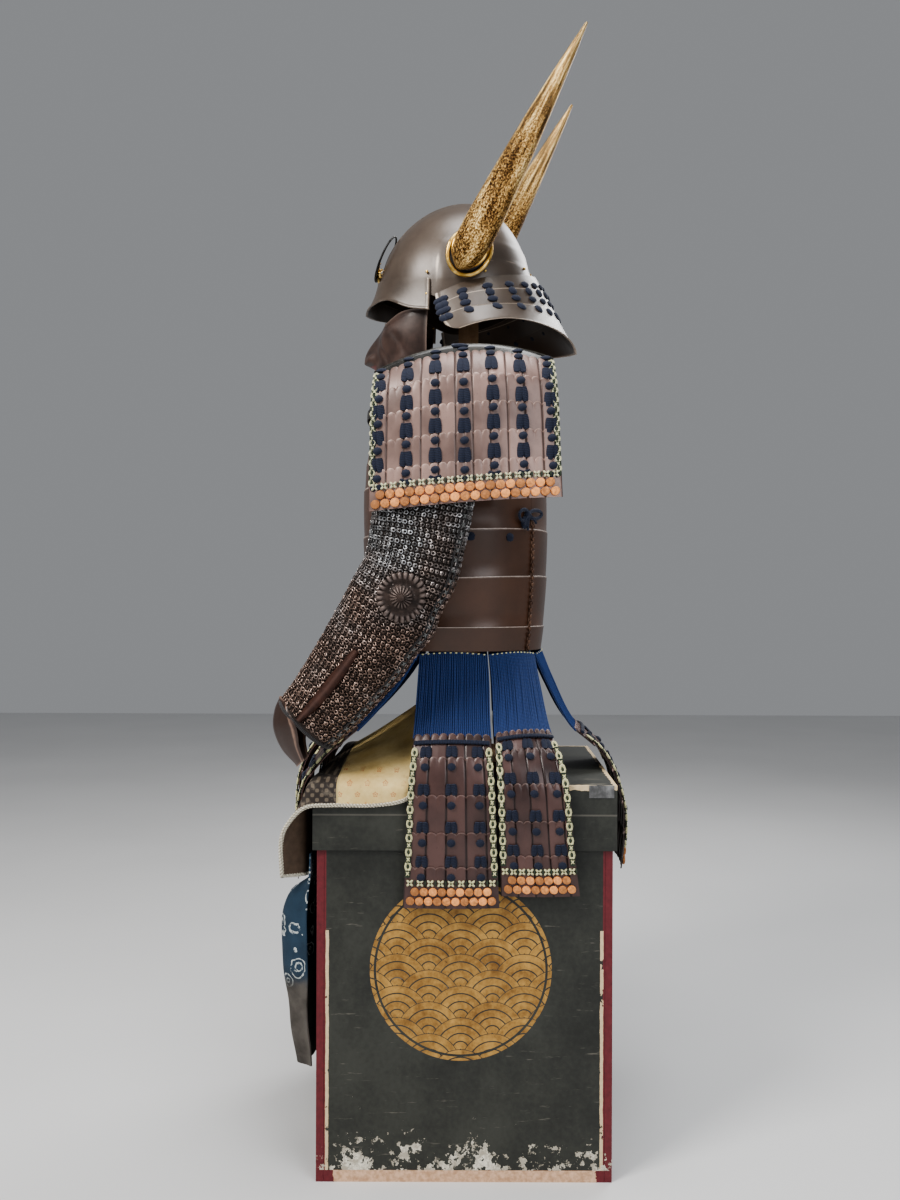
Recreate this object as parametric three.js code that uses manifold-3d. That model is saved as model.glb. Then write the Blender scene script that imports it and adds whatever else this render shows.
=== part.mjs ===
// Samurai armour sitting on its storage box: helmet with two horns, half mask, cuirass with laced
// tassets, shoulder guards, mail sleeves and a cloth thigh guard, carried by a plain wooden stand.
// Millimetres, +Z up. The armour faces -Y and its left side is +X.
// The origin is the centre of the box's underside.
import * as THREE from "three";
import { mergeVertices } from "three/addons/utils/BufferGeometryUtils.js";
import Module from "manifold-3d";

const wasm = await Module();
wasm.setup();

// Driving sizes
const GAP = 0.3;
const DEGREE = Math.PI / 180;
const ROUND = 2 * Math.PI;
const BOX = { halfWidth: 200, halfDepth: 200, top: 537, board: 10, lidSkirt: 88, lidWall: 5 };
const WALL = { cuirass: 3, scales: 2.2, sleeve: 3, helmet: 2.5, mask: 2.5, cloth: 2.4 };
const SCALE = { lift: 2.6, tuck: 0.4, notch: 4.5 };

// Finishes: colour, roughness and metalness
const FINISHES = {
  black_lacquer_box: [0x23231d, 0.55, 0.0],
  stand_wood: [0x8a6a45, 0.7, 0.0],
  brown_lacquer: [0x4a372b, 0.38, 0.15],
  scale_lacquer: [0x7a5a4c, 0.4, 0.1],
  black_lacquer: [0x14120f, 0.3, 0.1],
  blue_cord: [0x16274f, 0.9, 0.0],
  mail: [0x3a332f, 0.5, 0.6],
  rust_iron: [0x4b3026, 0.5, 0.5],
  gold: [0xc08a3a, 0.35, 0.85],
  printed_leather: [0xcdb273, 0.7, 0.0],
  indigo_cloth: [0x21425f, 0.85, 0.0],
};

const armour = new THREE.Group();

function finishOf(name) {
  const [color, roughness, metalness] = FINISHES[name];
  return new THREE.MeshStandardMaterial({ color, roughness, metalness });
}

function add(name, geometry, finish) {
  const mesh = new THREE.Mesh(geometry, finishOf(finish));
  mesh.name = name;
  armour.add(mesh);
  return mesh;
}

// A piece of the left side and its mirror image on the right.
function addPair(name, geometry, finish) {
  add(name + "_left", geometry, finish);
  add(name + "_right", geometry, finish).scale.set(-1, 1, 1);
}

// Sums that every shape uses

const mix = (a, b, share) => a + (b - a) * share;

function ease(low, high, at) {
  const share = Math.min(Math.max((at - low) / (high - low), 0), 1);
  return share * share * (3 - 2 * share);
}

// A smooth value of one column of a table at a place on its key column, whose values rise.
function column(table, key, name, at) {
  const last = table.length - 1;
  let row = 0;
  while (row < last - 1 && at > table[row + 1][key]) row++;
  const slope = (k) => {
    const before = table[Math.max(k - 1, 0)];
    const after = table[Math.min(k + 1, last)];
    return (after[name] - before[name]) / (after[key] - before[key]);
  };
  const [low, high] = [table[row], table[row + 1]];
  const span = high[key] - low[key];
  const t = (at - low[key]) / span;
  return (
    low[name] * (1 + 2 * t) * (1 - t) * (1 - t) +
    slope(row) * span * t * (1 - t) * (1 - t) +
    high[name] * t * t * (3 - 2 * t) -
    slope(row + 1) * span * t * t * (1 - t)
  );
}

// Adds to each row of a table of points its run: the length of the straight steps up to it.
function withRuns(table) {
  let run = 0;
  return table.map((row, k) => {
    if (k > 0) {
      const last = table[k - 1];
      run += Math.hypot(row.x - last.x, row.y - last.y, row.z - last.z);
    }
    return { ...row, run };
  });
}

// A point of a line through a table's rows, and the direction in which it runs on.
function lineAt(table, run) {
  const at = (r) => new THREE.Vector3(...["x", "y", "z"].map((name) => column(table, "run", name, r)));
  const step = 0.5;
  return { point: at(run), along: at(run + step).sub(at(run - step)).normalize() };
}

// A point of a rounded oval ring at an azimuth, squarer as its power rises above 2.
function oval(azimuth, halfX, halfY, power) {
  const c = Math.cos(azimuth);
  const s = Math.sin(azimuth);
  const reach = (Math.abs(c) ** power + Math.abs(s) ** power) ** (-1 / power);
  return [halfX * reach * c, halfY * reach * s];
}

const range = (count, value) => Array.from({ length: count }, (unused, k) => value(k));

// Solids

// A closed skin between an outer and an inner grid of points. Rows run down and points run across;
// a row of one point is a pole. The two grids may be as fine or as coarse as each needs.
class Skin {
  constructor() {
    this.xyz = [];
    this.triangles = [];
  }

  triangle(a, b, c) {
    if (a !== b && b !== c && c !== a) this.triangles.push(a, b, c);
  }

  grid(rows, closed, inward) {
    const wide = Math.max(...rows.map((row) => row.length));
    const ids = rows.map((row) => {
      const made = row.map((p) => this.xyz.push(p.x, p.y, p.z) / 3 - 1);
      return range(closed ? wide + 1 : wide, (k) => made[made.length === 1 ? 0 : k % made.length]);
    });
    for (let j = 0; j + 1 < ids.length; j++)
      for (let i = 0; i + 1 < ids[j].length; i++) {
        const [a, b, c, d] = [ids[j][i], ids[j][i + 1], ids[j + 1][i + 1], ids[j + 1][i]];
        if (inward) {
          this.triangle(a, c, b);
          this.triangle(a, d, c);
        } else {
          this.triangle(a, b, c);
          this.triangle(a, c, d);
        }
      }
    return ids;
  }

  shares(chain) {
    const lengths = [0];
    for (let k = 1; k < chain.length; k++) {
      const step = [0, 1, 2].map((n) => this.xyz[3 * chain[k] + n] - this.xyz[3 * chain[k - 1] + n]);
      lengths.push(lengths[k - 1] + Math.hypot(...step));
    }
    return lengths.map((length) => length / lengths[lengths.length - 1]);
  }

  // Joins an outer and an inner edge that start and end together.
  join(outer, inner) {
    const [p, q] = [this.shares(outer), this.shares(inner)];
    let [i, j] = [0, 0];
    while (i < outer.length - 1 || j < inner.length - 1)
      if (j === inner.length - 1 || (i < outer.length - 1 && p[i + 1] <= q[j + 1])) {
        this.triangle(outer[i + 1], outer[i], inner[j]);
        i++;
      } else {
        this.triangle(outer[i], inner[j], inner[j + 1]);
        j++;
      }
  }

  geometry() {
    const [xyz, faces] = [this.xyz, this.triangles];
    const corner = (k) => new THREE.Vector3(xyz[3 * k], xyz[3 * k + 1], xyz[3 * k + 2]);
    let volume = 0;
    for (let k = 0; k < faces.length; k += 3)
      volume += corner(faces[k]).dot(corner(faces[k + 1]).cross(corner(faces[k + 2])));
    if (volume < 0)
      for (let k = 0; k < faces.length; k += 3)
        [faces[k + 1], faces[k + 2]] = [faces[k + 2], faces[k + 1]];
    const made = new THREE.BufferGeometry();
    made.setAttribute("position", new THREE.Float32BufferAttribute(xyz, 3));
    made.setIndex(faces);
    return made;
  }
}

function shell(outerRows, innerRows, closed = false) {
  const skin = new Skin();
  const outer = skin.grid(outerRows, closed, false);
  const inner = skin.grid(innerRows, closed, true);
  const edges = (ids) => {
    const ends = [ids[0], [...ids[ids.length - 1]].reverse()];
    const sides = [ids.map((row) => row[row.length - 1]), ids.map((row) => row[0]).reverse()];
    return closed ? ends.filter((ring) => ring[0] !== ring[1]) : [...ends, ...sides];
  };
  const innerEdges = edges(inner);
  edges(outer).forEach((edge, k) => skin.join(edge, innerEdges[k]));
  return skin.geometry();
}

// A closed lump from one grid of rings, with a pole at each end.
function lump(rows) {
  const skin = new Skin();
  skin.grid(rows, true, false);
  return skin.geometry();
}

// Points of surface(across, down) for lists of across and down values.
const points = (acrossList, downList, surface) =>
  downList.map((down) => acrossList.map((across) => surface(across, down)));

const steps = (count, low = 0, high = 1) => range(count + 1, (k) => mix(low, high, k / count));

// A sheet with the same grid on both faces, moved apart along its normal.
function sheetShell(acrossList, downList, surface, thickness) {
  const step = 0.004;
  const face = (side) => (u, v) => {
    const across = surface(u + step, v).sub(surface(u - step, v));
    const down = surface(u, v + step).sub(surface(u, v - step));
    return surface(u, v).addScaledVector(across.cross(down).normalize(), (side * thickness) / 2);
  };
  return shell(points(acrossList, downList, face(1)), points(acrossList, downList, face(-1)));
}

// Boolean joins and cuts
function solidOf(geometry) {
  const bare = geometry.clone();
  bare.deleteAttribute("normal");
  bare.deleteAttribute("uv");
  const merged = mergeVertices(bare, 1e-3);
  const vertProperties = new Float32Array(merged.getAttribute("position").array);
  const triVerts = new Uint32Array(merged.index.array);
  return new wasm.Manifold(new wasm.Mesh({ numProp: 3, vertProperties, triVerts }));
}

function geometryOf(solid) {
  const mesh = solid.getMesh();
  const made = new THREE.BufferGeometry();
  made.setAttribute("position", new THREE.Float32BufferAttribute(mesh.vertProperties, 3));
  made.setIndex([...mesh.triVerts]);
  return made;
}

const join = (geometries) =>
  geometryOf(geometries.map(solidOf).reduce((whole, piece) => whole.add(piece)));

// A box between two corners.
function block(low, high) {
  const size = high.map((value, k) => value - low[k]);
  const middle = high.map((value, k) => (value + low[k]) / 2);
  return new THREE.BoxGeometry(...size).translate(...middle);
}

// Storage box: five boards and a lid whose skirt overlaps them

const { halfWidth, halfDepth, board } = BOX;
const bodyTop = BOX.top - board - GAP;
const endInside = halfDepth - board - GAP;
const lidReach = halfWidth + GAP + BOX.lidWall;
const lidDepth = halfDepth + GAP + BOX.lidWall;
const lidTop = BOX.top;

add(
  "box_bottom",
  block([board + GAP - halfWidth, -endInside, 0], [halfWidth - board - GAP, endInside, board]),
  "black_lacquer_box",
);
add(
  "box_front",
  block([-halfWidth, -halfDepth, 0], [halfWidth, board - halfDepth, bodyTop]),
  "black_lacquer_box",
);
add(
  "box_back",
  block([-halfWidth, halfDepth - board, 0], [halfWidth, halfDepth, bodyTop]),
  "black_lacquer_box",
);
addPair(
  "box_side",
  block([halfWidth - board, -endInside, 0], [halfWidth, endInside, bodyTop]),
  "black_lacquer_box",
);
add(
  "box_lid",
  geometryOf(
    solidOf(block([-lidReach, -lidDepth, lidTop - BOX.lidSkirt], [lidReach, lidDepth, lidTop])).subtract(
      solidOf(
        block(
          [-halfWidth - GAP, -halfDepth - GAP, 0],
          [halfWidth + GAP, halfDepth + GAP, lidTop - board],
        ),
      ),
    ),
  ),
  "black_lacquer_box",
);

// Cuirass: lames that overlap upwards, the front wrapped round both sides, the back a narrower plate

const TORSO = [
  { z: 714, halfWidth: 138, front: -142, back: 112 },
  { z: 749, halfWidth: 146, front: -150, back: 115 },
  { z: 819, halfWidth: 157, front: -155, back: 119 },
  { z: 886, halfWidth: 165, front: -157, back: 120 },
  { z: 952, halfWidth: 168, front: -156, back: 118 },
  { z: 1018, halfWidth: 165, front: -149, back: 112 },
  { z: 1075, halfWidth: 150, front: -132, back: 102 },
  { z: 1110, halfWidth: 134, front: -112, back: 90 },
];
const TORSO_POWER = 2.3;
const LAME_JOINTS = [749, 819, 886, 952];
const LAME_LIFT = 1.4;
const ARMHOLE = { bottom: 985, frontRise: 90, backRise: 123, shared: 972 };
const SEAM = { left: 50 * DEGREE, right: 130 * DEGREE, clearance: 0.0013 };

function torsoPoint(azimuth, z, proud) {
  const half = column(TORSO, "z", "halfWidth", z);
  const front = column(TORSO, "z", "front", z);
  const back = column(TORSO, "z", "back", z);
  const [x, y] = oval(azimuth, half + proud, (back - front) / 2 + proud, TORSO_POWER);
  return new THREE.Vector3(x, (front + back) / 2 + y, z);
}

// The top edge is high at the chest and the back and low at the armholes.
function torsoTop(azimuth) {
  const fromBack = Math.abs(Math.atan2(Math.cos(azimuth), Math.sin(azimuth))) / DEGREE;
  const chest = ease(118, 148, fromBack) * ARMHOLE.frontRise;
  const nape = (1 - ease(32, 60, fromBack)) * ARMHOLE.backRise;
  return ARMHOLE.bottom + chest + nape;
}

// Lines across the cuirass as [height, how proud]: a lame's top edge stands off the one above.
function torsoLines(azimuth, inside) {
  const top = torsoTop(azimuth);
  const upper = [0.35, 0.7, 1].map((share) => [mix(ARMHOLE.shared, top, share), LAME_LIFT * (1 - share)]);
  const lower = [[TORSO[0].z, LAME_LIFT]];
  for (const z of LAME_JOINTS) lower.push([z, LAME_LIFT], [z, 0]);
  const lines = [...lower, [ARMHOLE.shared, LAME_LIFT / 2], ...upper];
  return inside ? lines.filter((line, k) => k % 2 === 0).map(([z]) => [z, -WALL.cuirass]) : lines;
}

function cuirassPlate(from, to, columns, insideColumns) {
  const grid = (count, inside) => {
    const azimuths = steps(count, from, to);
    const made = azimuths.map((a) => torsoLines(a, inside).map(([z, proud]) => torsoPoint(a, z, proud)));
    return made[0].map((unused, j) => made.map((points) => points[j]));
  };
  return shell(grid(columns, false), grid(insideColumns, true));
}

add(
  "cuirass_front",
  cuirassPlate(SEAM.right + SEAM.clearance, SEAM.left + ROUND - SEAM.clearance, 32, 20),
  "brown_lacquer",
);
add(
  "cuirass_back",
  cuirassPlate(SEAM.left + SEAM.clearance, SEAM.right - SEAM.clearance, 10, 10),
  "brown_lacquer",
);

// Round bar along a line of points, with its ends closed.
function bar(table, radiusAt, around, along) {
  const line = withRuns(table);
  const length = line[line.length - 1].run;
  const ring = (share) => {
    const { point, along: forward } = lineAt(line, mix(0.5, length - 0.5, share));
    const side = new THREE.Vector3(1, 0.3, 0.2).cross(forward).normalize();
    const up = forward.clone().cross(side);
    return range(around, (k) => {
      const turn = (ROUND * k) / around;
      return point
        .clone()
        .addScaledVector(side, radiusAt(share) * Math.cos(turn))
        .addScaledVector(up, radiusAt(share) * Math.sin(turn));
    });
  };
  const rings = steps(along).map(ring);
  const sum = (ring) => ring.reduce((total, p) => total.add(p), new THREE.Vector3());
  const centre = (ring) => [sum(ring).divideScalar(around)];
  return lump([centre(rings[0]), ...rings, centre(rings[along])]);
}

// Left side hinge: pins and knuckles up the seam, with the tie cord's bow above it
const HINGE = { bottom: 718, top: 900, pin: 2.4, knuckle: 3.6, knuckles: 9, offset: 5.1 };
const hingeLine = [HINGE.bottom, 760, 830, HINGE.top].map((z) => {
  const p = torsoPoint(SEAM.left, z, HINGE.offset);
  return { x: p.x, y: p.y, z };
});
add(
  "side_hinge",
  bar(
    hingeLine,
    (share) => (Math.round(share * 2 * HINGE.knuckles) % 2 ? HINGE.knuckle : HINGE.pin),
    6,
    2 * HINGE.knuckles,
  ),
  "rust_iron",
);

const BOW = { z: 915, thick: 5, half: 6.5, tall: 13, loop: 8.5, cord: 1.7 };
function sideBow() {
  const at = torsoPoint(SEAM.left, BOW.z, 2.1 + BOW.thick / 2);
  const pad = new THREE.BoxGeometry(BOW.thick, 2 * BOW.half, 2 * BOW.tall);
  const loop = new THREE.TorusGeometry(BOW.loop, BOW.cord, 6, 14);
  loop.rotateY(Math.PI / 2).scale(1, 1.1, 0.45).translate(1, BOW.half + BOW.loop - 1, BOW.tall / 2);
  return join([pad, loop]).rotateZ(SEAM.left - 14 * DEGREE).translate(at.x, at.y, at.z);
}
add("side_bow", sideBow(), "blue_cord");

// Shoulder straps from the nape plate over the shoulders to the chest plate
const STRAP = { x: 95, half: 22, thick: 6 };
const backEdge = torsoPoint(Math.PI / 2, torsoTop(Math.PI / 2), 0);
const chestEdge = torsoPoint(-Math.PI / 2, torsoTop(-Math.PI / 2), 0);
const STRAP_LINE = withRuns([
  { x: 0, y: backEdge.y - 28, z: backEdge.z - 20 },
  { x: 0, y: 44, z: 1124 },
  { x: 0, y: 6, z: 1138 },
  { x: 0, y: -48, z: 1130 },
  { x: 0, y: -92, z: 1104 },
  { x: 0, y: chestEdge.y + 18, z: chestEdge.z + 4 },
]);

// A flat strip along a line in a plane of constant x, from one side to the other.
function strip(line, low, high, thickness, count) {
  const length = line[line.length - 1].run;
  const rows = (side) =>
    steps(count).map((share) => {
      const { point, along } = lineAt(line, mix(0.5, length - 0.5, share));
      const out = new THREE.Vector3(0, -along.z, along.y).multiplyScalar((side * thickness) / 2);
      return [low, high].map((x) => new THREE.Vector3(x, point.y, point.z).add(out));
    });
  return shell(rows(1), rows(-1));
}
addPair(
  "shoulder_strap",
  strip(STRAP_LINE, STRAP.x - STRAP.half, STRAP.x + STRAP.half, STRAP.thick, 10),
  "brown_lacquer",
);

// Laced scale panels: the tassets and the shoulder guards

// A place on a panel: a share across from -1 to 1, a run down its spine, and how proud it stands.
// The spine's table gives the turn of the panel's face, its half width and how far it bows back.
function panelPoint(panel, across, run, proud) {
  const { spine, tilt = 0 } = panel;
  const { point, along } = lineAt(spine, run);
  const turn = column(spine, "run", "turn", run) * DEGREE;
  const side = new THREE.Vector3(-Math.sin(turn), Math.cos(turn), 0)
    .multiplyScalar(Math.cos(tilt))
    .add(new THREE.Vector3(0, 0, Math.sin(tilt)));
  const out = along.clone().cross(side).normalize();
  const half = column(spine, "run", "half", run);
  const bow = column(spine, "run", "bow", run);
  return point
    .addScaledVector(side, across * half)
    .addScaledVector(out, proud - bow * across * across);
}

// The upper edge of a row of scales: rounded heads with a notch between each two.
function rowEdge(panel, row, across) {
  const heads = panel.heads;
  const place = ((across + 1) / 2) * heads;
  const notch = row === panel.rows.length - 1 ? 0 : SCALE.notch * (1 - Math.abs(Math.sin(Math.PI * place)));
  const arch = (panel.arch ?? 0) * across * across * (1 - row / panel.rows.length) ** 2;
  return panel.rows[row] + notch + arch;
}

function scalePanel(panel) {
  const last = panel.rows.length - 1;
  const fine = steps(2 * panel.heads, -1, 1);
  const outer = [];
  for (let row = 0; row < last; row++) {
    outer.push(fine.map((a) => panelPoint(panel, a, rowEdge(panel, row, a), SCALE.lift)));
    outer.push(fine.map((a) => panelPoint(panel, a, rowEdge(panel, row + 1, a), SCALE.tuck)));
  }
  const coarse = steps(panel.coarse ?? 4, -1, 1);
  const downs = range(last + 1, (row) => row);
  const inner = downs.map((row) =>
    coarse.map((a) => panelPoint(panel, a, rowEdge(panel, row, a), -WALL.scales)),
  );
  return shell(outer, inner);
}

// Tassets. Each spine starts where its cords leave the cuirass; scales start at TASSET.cords.
const TASSET = { cords: 121, rows: [0, 34, 84, 134, 180, 236], heads: 9 };
const TASSETS = {
  side: withRuns([
    { x: 138, y: -18, z: 713.4, turn: 0, half: 47, bow: 8 },
    { x: 158, y: -18, z: 668, turn: 0, half: 49, bow: 7 },
    { x: 190, y: -18, z: 606, turn: 0, half: 52, bow: 5 },
    { x: 210, y: -18, z: 572, turn: 0, half: 55, bow: 4 },
    { x: 219, y: -18, z: 532, turn: 0, half: 58, bow: 4 },
    { x: 219, y: -18, z: 450, turn: 0, half: 61, bow: 4 },
    { x: 218, y: -18, z: 366, turn: 0, half: 65, bow: 4 },
  ]),
  hip: withRuns([
    { x: 110.5, y: 70, z: 713.4, turn: 40, half: 42, bow: 8 },
    { x: 130, y: 75, z: 668, turn: 36, half: 42, bow: 7 },
    { x: 168, y: 81, z: 608, turn: 26, half: 43, bow: 6 },
    { x: 203, y: 87, z: 574, turn: 12, half: 46, bow: 5 },
    { x: 219, y: 92, z: 534, turn: 3, half: 48, bow: 5 },
    { x: 219, y: 97, z: 450, turn: 1, half: 50, bow: 5 },
    { x: 217.5, y: 103, z: 372, turn: 0, half: 54, bow: 5 },
  ]),
  back: withRuns([
    { x: 0, y: 112, z: 713.4, turn: 90, half: 64, bow: 13 },
    { x: 0, y: 128, z: 672, turn: 90, half: 65, bow: 11 },
    { x: 0, y: 160, z: 608, turn: 90, half: 66, bow: 8 },
    { x: 0, y: 200, z: 572, turn: 90, half: 67, bow: 6 },
    { x: 0, y: 222, z: 534, turn: 90, half: 68, bow: 5 },
    { x: 0, y: 237, z: 470, turn: 90, half: 69, bow: 5 },
    { x: 0, y: 232, z: 388, turn: 90, half: 70, bow: 5 },
  ]),
  thigh: withRuns([
    { x: 107, y: -104, z: 713.4, turn: -42, half: 42, bow: 8 },
    { x: 112, y: -128, z: 668, turn: -52, half: 43, bow: 7 },
    { x: 116, y: -168, z: 612, turn: -68, half: 45, bow: 6 },
    { x: 114, y: -206, z: 572, turn: -78, half: 47, bow: 5 },
    { x: 110, y: -231, z: 530, turn: -86, half: 48, bow: 5 },
    { x: 108, y: -237, z: 470, turn: -90, half: 49, bow: 5 },
    { x: 106, y: -236, z: 396, turn: -90, half: 50, bow: 5 },
  ]),
  front: withRuns([
    { x: 0, y: -142, z: 713.4, turn: -90, half: 64, bow: 13 },
    { x: 0, y: -162, z: 668, turn: -90, half: 65, bow: 11 },
    { x: 0, y: -196, z: 608, turn: -90, half: 66, bow: 8 },
    { x: 0, y: -230, z: 572, turn: -90, half: 66, bow: 6 },
    { x: 0, y: -248, z: 530, turn: -90, half: 67, bow: 5 },
    { x: 0, y: -252, z: 470, turn: -90, half: 68, bow: 5 },
    { x: 0, y: -251, z: 394, turn: -90, half: 69, bow: 5 },
  ]),
};

const tassetPanel = (spine, wide) => ({
  spine,
  heads: wide ? TASSET.heads + 2 : TASSET.heads,
  rows: TASSET.rows.map((row) => TASSET.cords + row),
});

// The cords that a tasset hangs by, side by side as one ribbed curtain.
const CORDS = { ribs: 8, rib: 3, valley: 1.4, sit: 1.1 };
function cordCurtain(spine) {
  const panel = { spine };
  const across = steps(2 * CORDS.ribs, -0.97, 0.97);
  const runs = steps(3, GAP, TASSET.cords - GAP);
  const outer = runs.map((run) =>
    across.map((a, k) => panelPoint(panel, a, run, (k % 2 ? CORDS.rib : CORDS.valley) - CORDS.sit)),
  );
  const inner = points(steps(4, -0.97, 0.97), runs, (a, run) => panelPoint(panel, a, run, -CORDS.sit));
  return shell(outer, inner);
}

for (const [name, spine] of Object.entries(TASSETS)) {
  const middle = name === "front" || name === "back";
  const place = middle ? add : addPair;
  place("tasset_cords_" + name, cordCurtain(spine), "blue_cord");
  place("tasset_" + name, scalePanel(tassetPanel(spine, middle)), "scale_lacquer");
}

// Shoulder guards: a panel that curves over the shoulder, its outer corner hanging lower in front
const GUARD = { x: 268, bend: 88, top: 1045, bottom: 912, tilt: 4.6 * DEGREE, bendAngle: 66 };
const guardSpine = withRuns([
  ...[GUARD.bendAngle, 44, 22].map((angle) => ({
    x: GUARD.x - GUARD.bend * (1 - Math.cos(angle * DEGREE)),
    z: GUARD.top + GUARD.bend * Math.sin(angle * DEGREE),
  })),
  { x: GUARD.x, z: GUARD.top },
  { x: GUARD.x + 3, z: (GUARD.top + GUARD.bottom) / 2 },
  { x: GUARD.x + 5, z: GUARD.bottom },
].map((row, k) => ({ ...row, y: k - 5, turn: 0, half: 117 + 2 * k, bow: 20 })));
const GUARD_LENGTH = guardSpine[guardSpine.length - 1].run;
const GUARD_ROWS = [212, 168, 130, 92, 54, 0].map((up) => GUARD_LENGTH - up);
const guardPanel = {
  spine: guardSpine,
  tilt: GUARD.tilt,
  heads: 22,
  coarse: 8,
  arch: 16,
  rows: GUARD_ROWS,
};
addPair("shoulder_guard", scalePanel(guardPanel), "scale_lacquer");

// The crown plate: the bare lacquered band along a shoulder guard's upper edge
const CROWN = { depth: 17, lip: 2.5 };
const crownRuns = (a) => {
  const lower = rowEdge(guardPanel, 0, a) - GAP;
  return [lower - CROWN.depth * (1 - 0.45 * a * a), lower - SCALE.notch];
};
const crownGrid = (across, proud) =>
  [0, 1].map((k) => across.map((a) => panelPoint(guardPanel, a, crownRuns(a)[k], proud(k))));
addPair(
  "shoulder_crown",
  shell(
    crownGrid(steps(14, -1, 1), (k) => (k ? SCALE.lift : CROWN.lip + SCALE.lift)),
    crownGrid(steps(8, -1, 1), () => -WALL.scales),
  ),
  "black_lacquer",
);

// Sleeves: mail on cloth, filled out, from the armhole past a bent elbow to the wrist

const SLEEVE = withRuns([
  { x: 168, y: -20, z: 1084, wide: 50, thick: 36 },
  { x: 194, y: -28, z: 1048, wide: 58, thick: 41 },
  { x: 210, y: -40, z: 1000, wide: 63, thick: 44 },
  { x: 215, y: -53, z: 940, wide: 65, thick: 44 },
  { x: 215, y: -62, z: 881, wide: 63, thick: 44 },
  { x: 214, y: -73, z: 830, wide: 61, thick: 44 },
  { x: 211, y: -94, z: 785, wide: 62, thick: 45 },
  { x: 206, y: -123, z: 736, wide: 60, thick: 43 },
  { x: 201, y: -156, z: 690, wide: 55, thick: 39 },
  { x: 196, y: -188, z: 649, wide: 50, thick: 36 },
  { x: 191, y: -218, z: 617, wide: 45, thick: 32 },
]);
const SLEEVE_LENGTH = SLEEVE[SLEEVE.length - 1].run;
const CREASE = { elbow: 320, spread: 70, depth: 2.4 };

// A place on a sleeve: azimuth 0 is the front of the arm and a quarter turn is its outer side.
function sleevePoint(azimuth, run, proud) {
  const { point, along } = lineAt(SLEEVE, run);
  const outer = new THREE.Vector3(1, 0, 0).addScaledVector(along, -along.x).normalize();
  const fore = along.clone().cross(outer);
  if (fore.y > 0) fore.negate();
  const wide = column(SLEEVE, "run", "wide", run);
  const thick = column(SLEEVE, "run", "thick", run);
  const fromElbow = (run - CREASE.elbow) / CREASE.spread;
  const inBend = 0.5 - 0.5 * Math.cos(azimuth);
  const crease = CREASE.depth * Math.exp(-(fromElbow ** 2)) * inBend * Math.sin(ROUND * fromElbow);
  const [f, o] = oval(azimuth, wide + proud + crease, thick + proud, 2.2);
  return point.addScaledVector(fore, f).addScaledVector(outer, o);
}

const ringAzimuths = (count) => range(count, (k) => (ROUND * k) / count);
addPair(
  "sleeve",
  shell(
    points(ringAzimuths(18), steps(12, 0, SLEEVE_LENGTH), (a, run) => sleevePoint(a, run, 0)),
    points(ringAzimuths(12), steps(7, 0, SLEEVE_LENGTH), (a, run) => sleevePoint(a, run, -WALL.sleeve)),
    true,
  ),
  "mail",
);

// Elbow rosette: a ring of petals round a fluted boss
const ROSETTE = { run: 308, azimuth: 97 * DEGREE, radius: 32.5, petals: 12, boss: 12, crown: 10.4 };
const ROSETTE_RINGS = [
  { r: ROSETTE.radius, low: 1.2, high: 2.6 },
  { r: ROSETTE.radius - 4, low: 1, high: 6 },
  { r: ROSETTE.radius - 10, low: 1, high: 3.2 },
  { r: ROSETTE.boss + 2, low: 1, high: 3.4 },
  { r: ROSETTE.boss - 2, low: 1, high: 8.5 },
];

// A place on the rosette, wrapped onto the sleeve: its petals are ribs that rise with the radius.
function rosettePoint(turn, ring, side) {
  const petal = 0.5 + 0.5 * Math.cos(ROSETTE.petals * turn);
  const r = ring.r - (ring.r === ROSETTE.radius ? 2.4 * (1 - petal) : 0);
  const azimuth = ROSETTE.azimuth + (r * Math.cos(turn)) / column(SLEEVE, "run", "wide", ROSETTE.run);
  return sleevePoint(azimuth, ROSETTE.run + r * Math.sin(turn), ring[side] + 0.8);
}
const rosetteTurns = ringAzimuths(2 * ROSETTE.petals);
const rosetteRing = (ring, side) => rosetteTurns.map((turn) => rosettePoint(turn, ring, side));
const rosettePole = (proud) => [sleevePoint(ROSETTE.azimuth, ROSETTE.run, proud)];
addPair(
  "elbow_rosette",
  shell(
    [...ROSETTE_RINGS.map((ring) => rosetteRing(ring, "high")), rosettePole(ROSETTE.crown)],
    [rosetteRing(ROSETTE_RINGS[0], "low"), rosettePole(1.8)],
    true,
  ),
  "rust_iron",
);

// Forearm splint: one long iron rib on the mail
const SPLINT = { from: 398, to: 522, start: 84 * DEGREE, end: 80 * DEGREE, half: 7.5, height: 5 };
function splintPoint(across, run, proud) {
  const wide = column(SLEEVE, "run", "wide", run);
  const azimuth = mix(SPLINT.start, SPLINT.end, (run - SPLINT.from) / (SPLINT.to - SPLINT.from));
  return sleevePoint(azimuth + (across * SPLINT.half) / wide, run, proud);
}
const splintRuns = steps(6, SPLINT.from, SPLINT.to);
addPair(
  "forearm_splint",
  shell(
    points(steps(4, -1, 1), splintRuns, (a, run) => splintPoint(a, run, 1.6 + (1 - a * a) * SPLINT.height)),
    points(steps(4, -1, 1), splintRuns, (a, run) => splintPoint(a, run, 0.8)),
  ),
  "rust_iron",
);

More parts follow.
